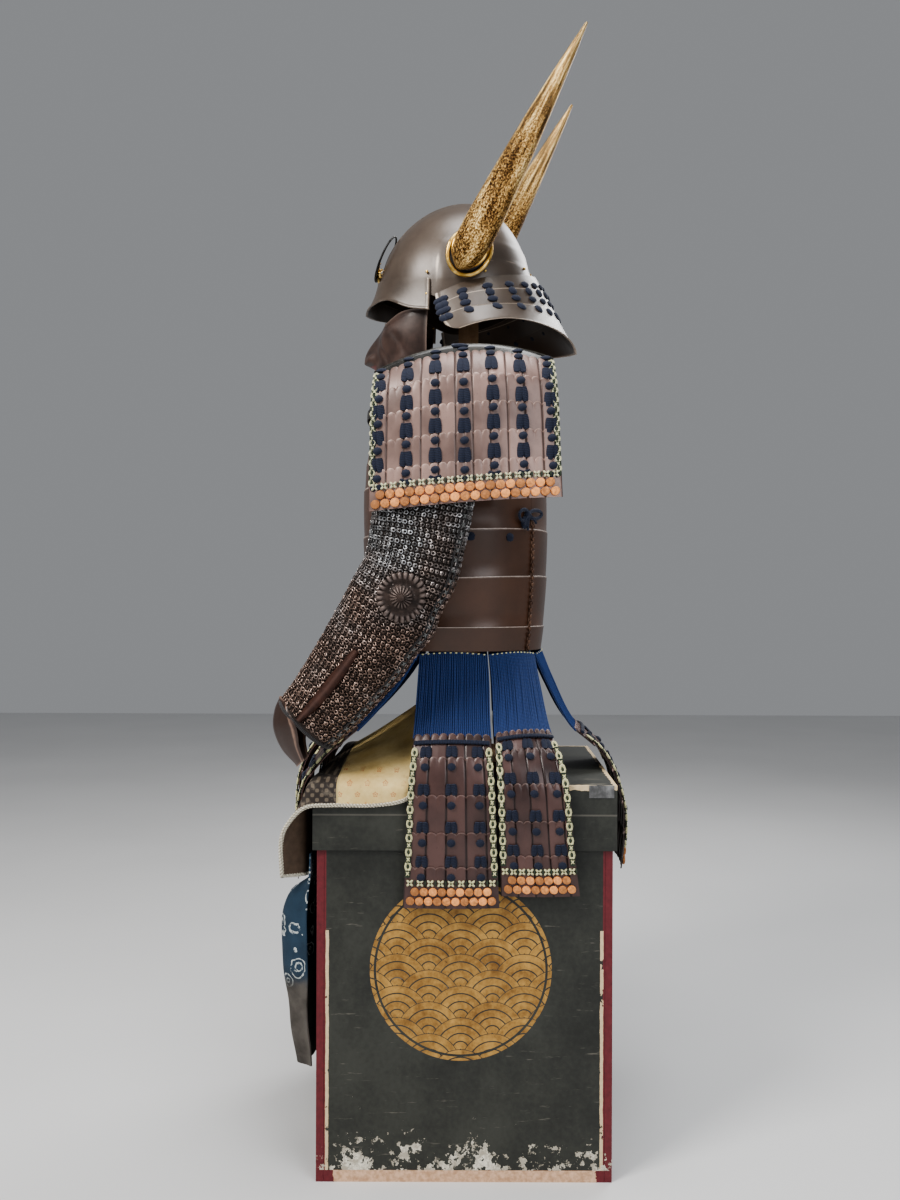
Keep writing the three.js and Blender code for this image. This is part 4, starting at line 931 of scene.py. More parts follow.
class Panel:
    """A laced panel: a spine down its middle, and a face turned, widened and bowed along it."""

    def __init__(self, rows, lames, heads, tilt=0.0, arch=0.0):
        self.spine = Line(PANEL_NAMES, rows)
        self.lames = lames
        self.heads = heads
        self.tilt = tilt
        self.arch = arch

    def axes(self, run):
        """Unit vectors across, down and out of the panel at a run."""
        along = self.spine.along(run)
        turn = np.radians(self.spine("turn", run))
        flat = math.cos(self.tilt)
        side = vector(-np.sin(turn) * flat, np.cos(turn) * flat, math.sin(self.tilt))
        return side, along, unit(np.cross(along, side))

    def place(self, across, run, proud):
        """Spine point, plus across half widths sideways, plus proud less the bow outwards."""
        across, run, proud = np.broadcast_arrays(across, run, proud)
        side, _, out = self.axes(run)
        half, bow = self.spine("half", run), self.spine("bow", run)
        return (
            self.spine.point(run)
            + side * (across * half)[..., None]
            + out * (proud - bow * across * across)[..., None]
        )

    def edge(self, row, across):
        """A row's upper edge: rounded heads between notches, and an arch that fades downwards."""
        deep = 0 if row == len(self.lames) - 1 else NOTCH
        heads = np.abs(np.sin(math.pi * (across + 1) / 2 * self.heads)) ** 0.65
        arch = self.arch * across**2 * (1 - row / len(self.lames)) ** 2
        return self.lames[row] + deep * (1 - heads) + arch


def scale_rows(panel, seed):
    """Each row of scales: a thin wall whose top leans out over the row above, ribbed by its scales. Its
    tone has painted shade in the grooves between the scales.
    """
    form = Form()
    rng = np.random.default_rng(RNG_SEED + seed)
    across = np.linspace(-1, 1, panel.heads * 8 + 1)[None]
    down = np.array([0, 0.025, 0.06, 0.14, 0.3, 0.55, 0.8, 1])[:, None]
    place = (across + 1) / 2 * panel.heads
    heads = np.abs(np.sin(math.pi * place)) ** 0.65
    groove = bump(np.minimum(place % 2, 2 - place % 2), 0, 0.075)
    # Painted highlight, partly rubbed lacquer: the wear value lightens the top edge of each row of scales.
    wear = 0.7 * bump(down, 0.01, 0.022)
    last = len(panel.lames) - 1
    for row in range(last):
        tail = 0 if row == last - 1 else 2.5
        run = mix(panel.edge(row, across), panel.edge(row + 1, across) + tail, down)
        foot = TUCK if tail else LIFT * 0.75
        proud = mix(LIFT, foot, down) - 0.9 * (1 - heads) * (1 - ease(0, 0.3, down))
        proud = proud - groove + 0.25 * heads * (1 - down) - bump(down, 0, 0.03) * 0.5
        tone = rng.random(panel.heads)[np.minimum(place / 2, panel.heads - 1).astype(int)] * 0.45 + 0.3
        # Painted shade: the tone darkens in the grooves between the scales.
        tone = tone - groove * 1.6 * ease(0.01, 0.06, down)
        outer, inner = (panel.place(across, run, proud - wall) for wall in (0, 1.3))
        form.shell(outer, inner, uv=(across * 60, run), tone=tone, wear=wear)
    return form


def cord_pairs(panel, columns, rows, start, end, spread=(3.0, 5.2), wide=4.7):
    """Pairs of flat braids that run down a lame, closer at the top and splayed at the foot."""
    form = Form()
    share = np.linspace(0, 1, 7)
    half = panel.spine("half", panel.lames[1])
    swell = wide * (0.55 + 0.45 * np.sin(math.pi * np.clip(share * 0.8 + 0.12, 0, 1)) ** 0.6)
    for row in rows:
        for column in columns:
            run = panel.edge(row, column) + mix(start, end, share)
            for way in (-1, 1):
                across = column + way * mix(*spread, share) / half
                path = panel.place(across, run, mix(LIFT, TUCK, share) + 1.2)
                form.tubes(path, panel.axes(run)[2], swell, 1.9)
    return form


def knots(panel, columns, rows, start, size=(6.3, 5.4, 3.4)):
    """A round knot on each column, a little below each row's edge."""
    across, row = (v.ravel() for v in np.meshgrid(columns, rows))
    run = np.array([panel.edge(r, a) for a, r in zip(across, row)]) + start
    side, down, out = panel.axes(run)
    centre = panel.place(across, run, LIFT + 0.8)
    return Form().beads(centre, side * size[0], down * size[1], out * size[2])


def edge_places(panel, first, last, pitch, shift):
    """Centres and axes of the stitches down both side edges, moved on by a share of the pitch."""
    run = np.tile(np.arange(first + shift * pitch, last, pitch), 2)
    side_of = np.repeat((-1.0, 1.0), len(run) // 2)
    across = side_of * (1 - 4.2 / panel.spine("half", run))
    side, down, out = panel.axes(run)
    return panel.place(across, run, LIFT + 1.0), side, down, out


def edge_lacing(panel, first, last, pitch):
    """Looped lacing down both side edges: an oval loop, and a crossed stitch between loops."""
    centre, side, down, out = edge_places(panel, first, last, pitch, 0)
    form = Form().rings(centre, side * 3.4, down * pitch * 0.3, out * 1.6, 0.42, segments=8, sides=4)
    centre, side, down, out = edge_places(panel, first, last, pitch, 0.5)
    for way in (-1, 1):
        long = unit(side * 0.8 + way * down)
        form.beads(centre, long * 3.8, np.cross(long, out) * 1.15, out * 1.5)
    return form


EDGE_STITCHES = ((0, 1.9, 2.9, 1.5), (0.29, 4.2, 1.7, 1.9), (0.71, 4.2, 1.7, 1.9), (0.5, 4.4, 3.6, 0.9))


def edge_beads(panel, first, last, pitch):
    """Dark green stitches between the loops and inside them."""
    form = Form()
    for shift, wide, long, thick in EDGE_STITCHES:
        centre, side, down, out = edge_places(panel, first, last, pitch, shift)
        form.beads(centre - out * 0.3, side * wide, down * long, out * thick)
    return form


def cross_places(panel, run, count):
    """Centres and axes of a row of knots across a panel."""
    across = np.linspace(-1, 1, 2 * count + 1)[1::2] * 0.985
    run = np.full(count, run)
    return (panel.place(across, run, LIFT + 1.1), *panel.axes(run))


def cross_row(panel, run, count):
    """A row of knots with four petals across a panel."""
    form = Form()
    centre, side, down, out = cross_places(panel, run, count)
    for a, b in ((-1, -1), (-1, 1), (1, -1), (1, 1)):
        long = unit(side * a + down * b)
        form.beads(centre + long * 3, long * 2.9, np.cross(long, out) * 1.7, out * 1.9)
    return form


def cross_hearts(panel, run, count):
    """Dark stitches through the middle of each knot and between two knots."""
    centre, side, down, out = cross_places(panel, run, count)
    form = Form().beads(centre, side * 1.5, down * 1.5, out * 2.2)
    step = panel.spine("half", run) * 0.985 / count
    return form.beads(centre + side * step - out * 0.4, side * 1.5, down * 4.2, out * 1.7)


def dot_rows(panel, runs, pitch):
    """Rows of round domed dots across a panel, each row set half a pitch from the last."""
    form = Form()
    for k, run in enumerate(runs):
        half = panel.spine("half", run)
        count = int(2 * half / pitch - 0.35) - (k % 2)
        across = (np.arange(count) - (count - 1) / 2) * pitch / half
        place = np.full(count, run)
        side, down, out = panel.axes(place)
        centre = panel.place(across, place, LIFT + 0.7)
        tone = np.arange(count) * 0.37 % 1
        form.repeat(centre, (side * pitch * 0.49, down * pitch * 0.46, out * 2.5), *DISC, tone=tone)
    return form


TASSET_CORDS = 121
TASSET_STITCH, GUARD_STITCH = 19.0, 13.0
TASSET_ROWS = [TASSET_CORDS + row for row in (0, 34, 84, 134, 180, 236)]
TASSETS = {
    "side": [
        (138, -18, 713.4, 0, 47, 8),
        (158, -18, 668, 0, 49, 7),
        (190, -18, 606, 0, 52, 5),
        (210, -18, 572, 0, 55, 4),
        (219, -18, 532, 0, 58, 4),
        (219, -18, 450, 0, 61, 4),
        (218, -18, 366, 0, 65, 4),
    ],
    "hip": [
        (110.5, 70, 713.4, 40, 42, 8),
        (130, 75, 668, 36, 42, 7),
        (168, 81, 608, 26, 43, 6),
        (203, 87, 574, 12, 46, 5),
        (219, 92, 534, 3, 48, 5),
        (219, 97, 450, 1, 50, 5),
        (217.5, 103, 372, 0, 54, 5),
    ],
    "back": [
        (0, 112, 713.4, 90, 64, 13),
        (0, 128, 672, 90, 65, 11),
        (0, 160, 608, 90, 66, 8),
        (0, 200, 572, 90, 67, 6),
        (0, 222, 534, 90, 68, 5),
        (0, 237, 470, 90, 69, 5),
        (0, 232, 388, 90, 70, 5),
    ],
    "thigh": [
        (107, -104, 713.4, -42, 42, 8),
        (112, -128, 668, -52, 43, 7),
        (116, -168, 612, -68, 45, 6),
        (114, -206, 572, -78, 47, 5),
        (110, -231, 530, -86, 48, 5),
        (108, -237, 470, -90, 49, 5),
        (106, -236, 396, -90, 50, 5),
    ],
    "front": [
        (0, -142, 713.4, -90, 64, 13),
        (0, -162, 668, -90, 65, 11),
        (0, -196, 608, -90, 66, 8),
        (0, -230, 572, -90, 66, 6),
        (0, -248, 530, -90, 67, 5),
        (0, -252, 470, -90, 68, 5),
        (0, -251, 394, -90, 69, 5),
    ],
}


def suspension_cords(panel, count, radius, seed):
    """Many thin cords side by side from the cuirass to the first row, each with a slight stray."""
    rng = np.random.default_rng(RNG_SEED + seed)
    across = ((np.arange(count) + 0.5) / count * 2.0 - 1.0) * 1.03
    run = np.linspace(0.4, TASSET_CORDS + 5, 12)
    wave = np.linspace(0, math.pi, 12)[None]
    stray = rng.normal(0, 0.012, (count, 1)) * np.sin(wave)
    stray = stray + rng.normal(0, 0.006, (count, 1)) * np.sin(2 * wave)
    proud = rng.normal(0.4, 0.45, (count, 1)) * np.sin(wave) + 0.3
    path = panel.place(across[:, None] + stray, run, proud)
    form = Form().tubes(path, panel.axes(run)[2], radius, sides=5)
    face, back = (panel.place(np.linspace(-1.02, 1.02, 12)[None], run[:, None], p) for p in (-0.7, -1.1))
    return form.shell(face, back)


def top_stitches(panel, count):
    """Pale stitches where the cords leave the cuirass."""
    across = np.linspace(-0.92, 0.92, count)
    run = np.full(count, 1.6)
    side, down, out = panel.axes(run)
    return Form().beads(panel.place(across, run, 1.5), side * 1.9, down * 1.2, out)


def head_braid(panel):
    """A thick navy cord along the panel's top, with a swell at each twist."""
    run = np.full(60, TASSET_ROWS[0] + 13.5)
    path = panel.place(np.linspace(-0.96, 0.96, 60), run, LIFT + 1.4)
    swell = 3.2 + 0.5 * np.sin(np.arange(60) * 2.1)
    return Form().tubes(path, panel.axes(run)[2][None], swell[None], 2.2, sides=8)


class ARMOUR_OT_tassets(bpy.types.Operator):
    """Laced skirt panels that hang from the cuirass by blue cords"""

    bl_idname = "armour.tassets"
    bl_label = "Tassets"

    def execute(self, context):
        sizes, colors = context.scene.armour_sizes, context.scene.armour_colors
        # edge is the colour of the scale rows' lighter top edges: rubbed lacquer and a painted highlight.
        dark, light, edge = (0.024, 0.012, 0.011), (0.13, 0.066, 0.057), (0.42, 0.3, 0.26)
        scale = lacquer("tasset_scale_lacquer", dark, light, 0.28, edge, 0.25)
        blue = cord_finish("blue_suspension_cord", colors.blue, 2.4)
        navy = cord_finish("navy_lacing", colors.navy)
        orange = dot_finish("orange_dots", colors.orange)
        cream = braid("cream_edge_lacing", (0.45, 0.43, 0.22), (0.8, 0.78, 0.52), 1.6)
        green = braid("green_edge_stitches", (0.01, 0.018, 0.01), (0.05, 0.07, 0.04), 1.6)
        first, last = TASSET_ROWS[0] + 28, TASSET_ROWS[-1]
        columns = (-0.64, 0, 0.64)
        for seed, (name, rows) in enumerate(TASSETS.items()):
            middle = name in ("front", "back")
            panel = Panel(rows, TASSET_ROWS, 11 if middle else 9)
            laces = Form()
            for row, (start, end) in enumerate(((20, 34.5), (36, 50.5), (36, 50.5), (32, 46.5))):
                laces.merge(cord_pairs(panel, columns, (row,), start, end, (2.8, 4.3), 4.3))
            balls = knots(panel, columns, (1, 2, 3, 4), 14, (6.2, 5.6, 3.2)).merge(head_braid(panel))
            stitches = edge_beads(panel, first, last - 38, TASSET_STITCH)
            stitches.merge(cross_hearts(panel, last - 34, 9))
            strands = sizes.strands + (8 if middle else 0)
            cords = suspension_cords(panel, strands, sizes.strand_radius / MM, seed)
            dots = dot_rows(panel, (last - 10, last - 22.5), sizes.dot_pitch / MM * 0.93)
            loops = edge_lacing(panel, first, last - 38, TASSET_STITCH)
            crosses = cross_row(panel, last - 34, 9)
            pieces = (
                ("scales", scale_rows(panel, seed), scale, "scale_lacquer", ["tasset_" + name]),
                ("strands", cords, blue, "blue_cord", ["tasset_cords_" + name]),
                ("cord_pairs", laces, navy, "blue_cord", []),
                ("knots", balls, navy, "blue_cord", []),
                ("dots", dots, orange, "printed_leather", []),
                ("edge_loops", loops, cream, "printed_leather", []),
                ("edge_stitches", stitches, green, "blue_cord", []),
                ("crosses", crosses, cream, "printed_leather", []),
                ("top_stitches", top_stitches(panel, 12), cream, "printed_leather", []),
            )
            for label, form, material, slot, replaced in pieces:
                make = form.build if middle else form.build_pair
                make(f"tasset_{label}_{name}", material, slot, replaced)
        return {"FINISHED"}


def dot_finish(name, color):
    """Orange lacing seen end on: mottled, with darker pits."""
    finish = Finish(name)
    mottle = finish.noise(260, 4) * 0.7 + finish.value("tone") * 0.4
    shade = finish.blend(mottle.between(0.3, 0.85), shaded(color, 0.45), shaded(color, 1.35))
    normal = finish.relief(finish.noise(420, 3), 0.5, 0.6)
    return finish.surface(Base_Color=shade, Roughness=0.72, Normal=normal)


GUARD = {"x": 268, "bend": 88, "top": 1045, "bottom": 912, "tilt": math.radians(4.6), "angle": 66}


def guard_panel():
    """The shoulder guard's panel: a quarter bend over the shoulder, then nearly straight down."""
    bend = [
        (
            GUARD["x"] - GUARD["bend"] * (1 - math.cos(math.radians(angle))),
            GUARD["top"] + GUARD["bend"] * math.sin(math.radians(angle)),
        )
        for angle in (GUARD["angle"], 44, 22)
    ]
    fall = [
        (GUARD["x"], GUARD["top"]),
        (GUARD["x"] + 3, (GUARD["top"] + GUARD["bottom"]) / 2),
        (GUARD["x"] + 5, GUARD["bottom"]),
    ]
    rows = [(x, k - 5, z, 0, 117 + 2 * k, 20) for k, (x, z) in enumerate(bend + fall)]
    panel = Panel(rows, [0, 0], 22, GUARD["tilt"], 16)
    length = panel.spine.length
    panel.lames = [length - up for up in (212, 168, 130, 92, 54, 0)]
    return panel


def guard_crown(panel):
    """The bare band along the guard's upper edge, shallower at its ends, with a rolled lip."""
    across = np.linspace(-1, 1, 161)[None]
    depth = 17 * (1 - 0.45 * across**2)
    share = np.array([0, 0.06, 0.16, 0.3, 0.5, 0.8, 1])[:, None]
    run = panel.lames[0] + panel.arch * across**2 - depth + share * (depth + 6)
    proud = mix(LIFT + 0.6, 0.9, ease(0.2, 0.85, share)) + 2.6 * bump(share, 0.05, 0.1)
    outer, inner = panel.place(across, run, proud), panel.place(across, run, -1.2)
    return Form().shell(outer, inner, wear=bump(share, 0.06, 0.08) * 0.6)


def shoulder_tie(panel):
    """Three braids side by side from the shoulder strap to the guard's crown."""
    form = Form()
    crown = panel.place(0.0, panel.edge(0, np.array(0.0)) - 17, 0.0)
    points = np.array([[90, 1142.5], [117, 1143.5], [150, 1141], [190, 1134], [crown[0] - 1, crown[2] + 3]])
    keys = np.linspace(0, 1, len(points))
    x, z = (smooth(keys, points[:, k], np.linspace(0, 1, 30)) for k in (0, 1))
    for y in (-17, -8, 1):
        form.tubes(vector(x, y, z), np.array([0.2, 0, 1.0]), 4.2, 1.9, sides=10)
    return form.beads([[crown[0] + 2, -8, crown[2] + 3]], [[0, 12, 0]], [[5, 0, 0]], [[0, 0, 4]])


class ARMOUR_OT_shoulder_guards(bpy.types.Operator):
    """Large laced shoulder guards with black crowns, edge lacing and orange dots"""

    bl_idname = "armour.shoulder_guards"
    bl_label = "Shoulder guards"

    def execute(self, context):
        sizes, colors = context.scene.armour_sizes, context.scene.armour_colors
        # edge is the colour of the scale rows' lighter top edges: rubbed lacquer and a painted highlight.
        dark, light, edge = (0.085, 0.052, 0.044), (0.37, 0.245, 0.21), (0.62, 0.45, 0.38)
        scale = lacquer("guard_scale_lacquer", dark, light, 0.34, edge, 0.2)
        dark, light, edge = (0.006, 0.006, 0.005), (0.02, 0.018, 0.014), (0.2, 0.19, 0.16)
        black = lacquer("black_lacquer_crown", dark, light, 0.16, edge)
        navy = cord_finish("navy_guard_lacing", colors.navy)
        orange = dot_finish("orange_guard_dots", colors.orange)
        cream = braid("cream_guard_lacing", (0.45, 0.44, 0.26), (0.78, 0.76, 0.55), 1.6)
        green = braid("green_guard_stitches", (0.01, 0.018, 0.01), (0.05, 0.07, 0.04), 1.6)
        panel = guard_panel()
        first, last = panel.lames[0] + 20, panel.lames[-1]
        columns = (np.arange(7) - 3) * 37.4 / 123
        pairs = cord_pairs(panel, columns, (0, 1, 2, 3), 18.5, 37, (2.4, 4.4), 4.9)
        low = cord_pairs(panel, columns, (4,), 17, 24)
        flat = knots(panel, columns, (0,), -7, (7.6, 3.6, 2.6))
        dots = dot_rows(panel, (last - 7.5, last - 19.2), sizes.dot_pitch / MM)
        loops = edge_lacing(panel, first, last - 34, GUARD_STITCH)
        stitches = edge_beads(panel, first, last - 34, GUARD_STITCH)
        stitches.merge(cross_hearts(panel, last - 30, 20))
        crosses = cross_row(panel, last - 30, 20)
        pieces = (
            ("guard_knots", knots(panel, columns, (0, 1, 2, 3, 4), 9), navy, "blue_cord", []),
            ("guard_flat_knots", flat, navy, "blue_cord", []),
            ("guard_cord_pairs", pairs, navy, "blue_cord", []),
            ("guard_low_pairs", low, navy, "blue_cord", []),
            ("guard_scales", scale_rows(panel, 9), scale, "scale_lacquer", ["shoulder_guard"]),
            ("guard_crown", guard_crown(panel), black, "black_lacquer", ["shoulder_crown"]),
            ("guard_dots", dots, orange, "printed_leather", []),
            ("guard_edge_loops", loops, cream, "printed_leather", []),
            ("guard_edge_stitches", stitches, green, "blue_cord", []),
            ("guard_crosses", crosses, cream, "printed_leather", []),
            ("shoulder_tie_cord", shoulder_tie(panel), navy, "blue_cord", ["shoulder_tie"]),
        )
        for name, form, material, slot, replaced in pieces:
            form.build_pair(name, material, slot, replaced)
        return {"FINISHED"}


# Mail sleeves

SLEEVE = Line(
    ("x", "y", "z", "wide", "thick"),
    [
        (168, -20, 1084, 50, 36),
        (194, -28, 1048, 58, 41),
        (210, -40, 1000, 63, 44),
        (215, -53, 940, 65, 44),
        (215, -62, 881, 63, 44),
        (214, -73, 830, 61, 44),
        (211, -94, 785, 62, 45),
        (206, -123, 736, 60, 43),
        (201, -156, 690, 55, 39),
        (196, -188, 649, 50, 36),
        (191, -218, 617, 45, 32),
    ],
)


def limb_point(line, azimuth, run, wide, thick, power):
    """An oval across a line: a quarter turn is its outer side, and wide and thick add to its sizes."""
    along = line.along(run)
    outer = unit(OUTER - along * along[..., :1])
    fore = np.cross(along, outer)
    fore = fore * np.where(fore[..., 1:2] > 0, -1, 1)
    f, o = oval(azimuth, line("wide", run) + wide, line("thick", run) + thick, power)
    return line.point(run) + fore * f[..., None] + outer * o[..., None]


def sleeve_point(azimuth, run, proud):
    """The arm's oval with creases at the elbow: azimuth 0 is the front, a quarter turn the outside."""
    azimuth, run, proud = alike(azimuth, run, proud)
    near = bump(run, 320, 70)
    crease = 2.4 * near * (0.5 - 0.5 * np.cos(azimuth)) * np.sin((run - 320) / 70 * ROUND)
    return limb_point(SLEEVE, azimuth, run, proud + crease, proud, 2.2)


def sleeve_axes(azimuth, run):
    """Unit vectors round, along and out of the sleeve at a place on it."""
    around = unit(sleeve_point(azimuth + 0.01, run, 0) - sleeve_point(azimuth - 0.01, run, 0))
    down = unit(sleeve_point(azimuth, run + 1, 0) - sleeve_point(azimuth, run - 1, 0))
    out = unit(np.cross(down, around))
    away = sleeve_point(azimuth, run, 1) - sleeve_point(azimuth, run, 0)
    return around, down, out * np.sign(np.sum(out * away, axis=-1, keepdims=True))


def sleeve_cloth():
    """The cloth under the mail: a tube with a hemmed mouth at each end."""
    azimuth = ring_turn(48)
    run = np.linspace(0, SLEEVE.length, 70)[:, None]
    hem = 1.5 * (bump(run, 4, 4) + bump(run, SLEEVE.length - 4, 4))
    outer = sleeve_point(azimuth, run, hem - 0.6)
    inner = sleeve_point(azimuth, run, -2.6)
    return Form().shell(outer, inner, closed=True, uv=(azimuth * 55, run))


BARE_SIDE = 0.14


def mail_rings(pitch, mail_radius, pad=6):
    """Rows of small rings round the sleeve, each row turned half a pitch and leaning its own way.

    The side next to the body stays bare cloth, as on a real sleeve.
    """
    form = Form()
    rng = np.random.default_rng(RNG_SEED)
    runs = np.arange(pad, SLEEVE.length - pad, pitch)
    for k, run in enumerate(runs):
        loop = sleeve_point(np.linspace(0, ROUND, 60), run, 0)
        girth = np.linalg.norm(np.diff(loop, axis=0), axis=1).sum()
        count = int(girth / pitch)
        azimuth = (np.arange(count) + 0.5 * (k % 2)) * ROUND / count
        azimuth = azimuth[np.abs(azimuth / ROUND - 0.75) > BARE_SIDE]
        count = len(azimuth)
        place = np.full(count, run)
        around, down, out = sleeve_axes(azimuth, place)
        lean = 0.5 * (1 if k % 2 else -1)
        across = unit(around + out * lean)
        normal = np.cross(across, down)
        normal = normal * np.sign(np.sum(normal * out, axis=-1, keepdims=True))
        centre = sleeve_point(azimuth, place, 1.0) + rng.normal(0, 0.25, (count, 3))
        tone = 0.15 + 0.85 * rng.random(count) ** 2
        wide, long = across * mail_radius, down * mail_radius * 0.86
        form.rings(centre, wide, long, normal * 1.3, 0.52, 5, 3, tone=tone)
    return form


ROSETTE = {"run": 308, "azimuth": math.radians(97), "petals": 24}


def rosette_point(turn, r, proud):
    """Polar places of the rosette, wrapped on to the sleeve."""
    azimuth = ROSETTE["azimuth"] + r * np.cos(turn) / SLEEVE("wide", ROSETTE["run"])
    return sleeve_point(azimuth, ROSETTE["run"] + r * np.sin(turn), proud + 0.8)


ROSETTE_LINES = [
    (32.5, 1.2, -2.2, 0),
    (31.5, 3.2, -1.6, 2.2),
    (28.5, 4.6, 0, 2.6),
    (25, 4.4, 0, 2.2),
    (22.5, 3, 0, 0.4),
    (21, 2.2, 0, 0),
    (16, 2.2, 0, 0),
    (14.8, 3.2, 0, 0.6),
    (12.5, 5.6, 0, 1.6),
    (9, 8.6, 0, 1.8),
    (5.5, 10.4, 0, 0.6),
    (4.4, 10.2, 0, 0),
    (3.6, 11.6, 0, 0),
    (1.2, 12.4, 0, 0),
    (0.2, 12.5, 0, 0),
]
PETAL_LINES = 6


def elbow_rosette():
    """A ring of rounded petals, a plain channel, and a domed boss fluted by a second, finer ring.

    A line is its radius and height on a rib, and how far it falls off between ribs in each.
    """
    turn = ring_turn(144)
    petal = np.abs(np.cos(ROSETTE["petals"] * turn / 2)) ** 0.7
    flute = np.abs(np.cos(9 * turn))
    radius, rise, narrow, fall = (np.array(column)[:, None] for column in zip(*ROSETTE_LINES))
    ribs = np.where(np.arange(len(ROSETTE_LINES))[:, None] < PETAL_LINES, petal, flute)
    # Painted highlight, partly rubbed iron: the wear value lightens the crests of the petals and of the
    # fluted ring.
    wear = np.clip((ribs - 0.55) * 1.4, 0, 1) * (fall > 1)
    r = radius + narrow * (1 - petal)
    outer, inner = rosette_point(turn, r, rise - fall * (1 - ribs)), rosette_point(turn, r, 0.3)
    return Form().shell(outer, inner, closed=True, wear=wear)


SPLINT = {"from": 398, "to": 522, "start": math.radians(84), "end": math.radians(80)}


def splint_point(across, run, proud):
    """A place on the splint's strip of the sleeve, which narrows by a root of the sine at both ends."""
    share = (run - SPLINT["from"]) / (SPLINT["to"] - SPLINT["from"])
    half = 8.2 * (0.35 + 0.65 * np.sqrt(np.clip(np.sin(math.pi * np.clip(share, 0.02, 0.98)), 0, 1)))
    azimuth = mix(SPLINT["start"], SPLINT["end"], share) + across * half / SLEEVE("wide", run)
    return sleeve_point(azimuth, run, proud)


def forearm_splint():
    """A long iron splint, round in section and tapered at both ends."""
    across = np.linspace(-1, 1, 15)[None]
    run = np.linspace(SPLINT["from"], SPLINT["to"], 50)[:, None]
    crown = np.sqrt(np.clip(1 - across**2, 0, 1)) * 5.2
    outer, inner = splint_point(across, run, 1.4 + crown), splint_point(across, run, 0.8)
    return Form().shell(outer, inner, wear=bump(across, 0, 0.3) * 0.35)


HAND = [
    (191, -250.8, 655, -90, 22, 14),
    (191, -257.8, 637, -90, 32, 26),
    (191, -259, 612, -90, 36, 34),
    (191, -248, 584, -90, 32, 30),
    (191, -227, 560, -90, 18, 14),
]


def hand_guard():
    """A bowed plate over the hand, with three raised ribs and a rolled rim."""
    panel = Panel(HAND, [0, 0], 1)
    across = np.linspace(-1, 1, 41)[None]
    run = np.linspace(0.5, panel.spine.length - 0.5, 36)[:, None]
    share = run / panel.spine.length
    rim = np.maximum(bump(np.abs(across), 0.95, 0.05), bump(np.abs(share - 0.5), 0.49, 0.02))
    ribs = sum(bump(across, place, 0.08) for place in (0.32, -0.32, 0))
    outer = panel.place(across, run, 1 + rim * 1.1 + ribs * 1.3 * np.sin(math.pi * share))
    inner = panel.place(across, run, -1.2)
    return Form().shell(outer, inner, wear=np.clip(rim + 0.25 * ribs, 0, 1))


def sleeve_seam():
    """Pale crossed stitches along the sleeve's rear seam."""
    form = Form()
    run = np.arange(150, SLEEVE.length - 8, 11.0)
    azimuth = np.full(len(run), math.radians(148))
    around, down, out = sleeve_axes(azimuth, run)
    centre = sleeve_point(azimuth, run, 2.6)
    for way in (-1, 1):
        long = unit(around + way * down)
        form.beads(centre, long * 4.4, np.cross(long, out) * 1.1, out)
    return form


def sleeve_cords():
    """A dark lacing cord down the rear seam and a bound edge at the wrist."""
    form = Form()
    run = np.linspace(110, SLEEVE.length - 4, 120)
    for degrees in (143, 153):
        azimuth = np.radians(degrees) + 0 * run
        form.tubes(sleeve_point(azimuth, run, 1.8), sleeve_axes(azimuth, run)[2], 1.7, 1.4)
    azimuth = np.linspace(0, ROUND, 90)
    wrist = np.full(90, SLEEVE.length - 2)
    return form.tubes(sleeve_point(azimuth, wrist, 1.2), sleeve_axes(azimuth, wrist)[2], 2.6, 2.0)


class ARMOUR_OT_sleeves(bpy.types.Operator):
    """Mail sleeves on cloth, with elbow rosettes, splints and hand guards"""

    bl_idname = "armour.sleeves"
    bl_label = "Sleeves"

    def execute(self, context):
        sizes = context.scene.armour_sizes
        cloth = woven("brown_sleeve_cloth", (0.012, 0.008, 0.006), (0.05, 0.032, 0.024))
        rings = mail_iron("mail_rings_iron")
        dark_iron = iron("rosette_iron", (0.02, 0.014, 0.012), (0.07, 0.048, 0.04))
        russet = iron("russet_splint", (0.025, 0.009, 0.006), (0.07, 0.027, 0.017))
        dark, light, edge = (0.02, 0.01, 0.007), (0.07, 0.036, 0.026), (0.25, 0.16, 0.12)
        plate = lacquer("hand_guard_lacquer", dark, light, 0.36, edge)
        stitch = braid("seam_stitches", (0.06, 0.06, 0.06), (0.28, 0.29, 0.28))
        dark = braid("seam_cord", (0.01, 0.009, 0.01), (0.05, 0.045, 0.045))
        sleeves = sleeve_cloth().build_pair("sleeve_cloth", cloth, "mail", ["sleeve"])
        pitch = sizes.ring_pitch / MM
        mail = mail_rings(pitch, pitch * 0.47).build_pair("sleeve_rings", rings, "mail", crease=180)
        elbow_rosette().build_pair("elbow_rosette_petals", dark_iron, "rust_iron", ["elbow_rosette"])
        forearm_splint().build_pair("forearm_splint_bar", russet, "rust_iron", ["forearm_splint"])
        hand_guard().build_pair("hand_guard_plate", plate, "brown_lacquer", ["hand_guard"])
        sleeve_seam().build_pair("sleeve_seam_stitches", stitch, "blue_cord")
        sleeve_cords().build_pair("sleeve_seam_cords", dark, "blue_cord")
        return {"FINISHED"}


# Helmet

BOWL = {"y": -3, "front": 135, "back": 99, "half": 104, "base": 1250, "crown": 1392, "power": 1.86}
BOWL_RIM = Table("away", ("away", "z"), [(0, 1252), (50, 1246), (78, 1222), (110, 1232), (180, 1268)])


def bowl_level(z):
    """The climb of the bowl's dome at a height, from 0 at its widest line to 1 at the crown."""
    share = np.clip((np.asarray(z, float) - BOWL["base"]) / (BOWL["crown"] - BOWL["base"]), 0, 1)
    return 2 / math.pi * np.arcsin(share ** (BOWL["power"] / 2))


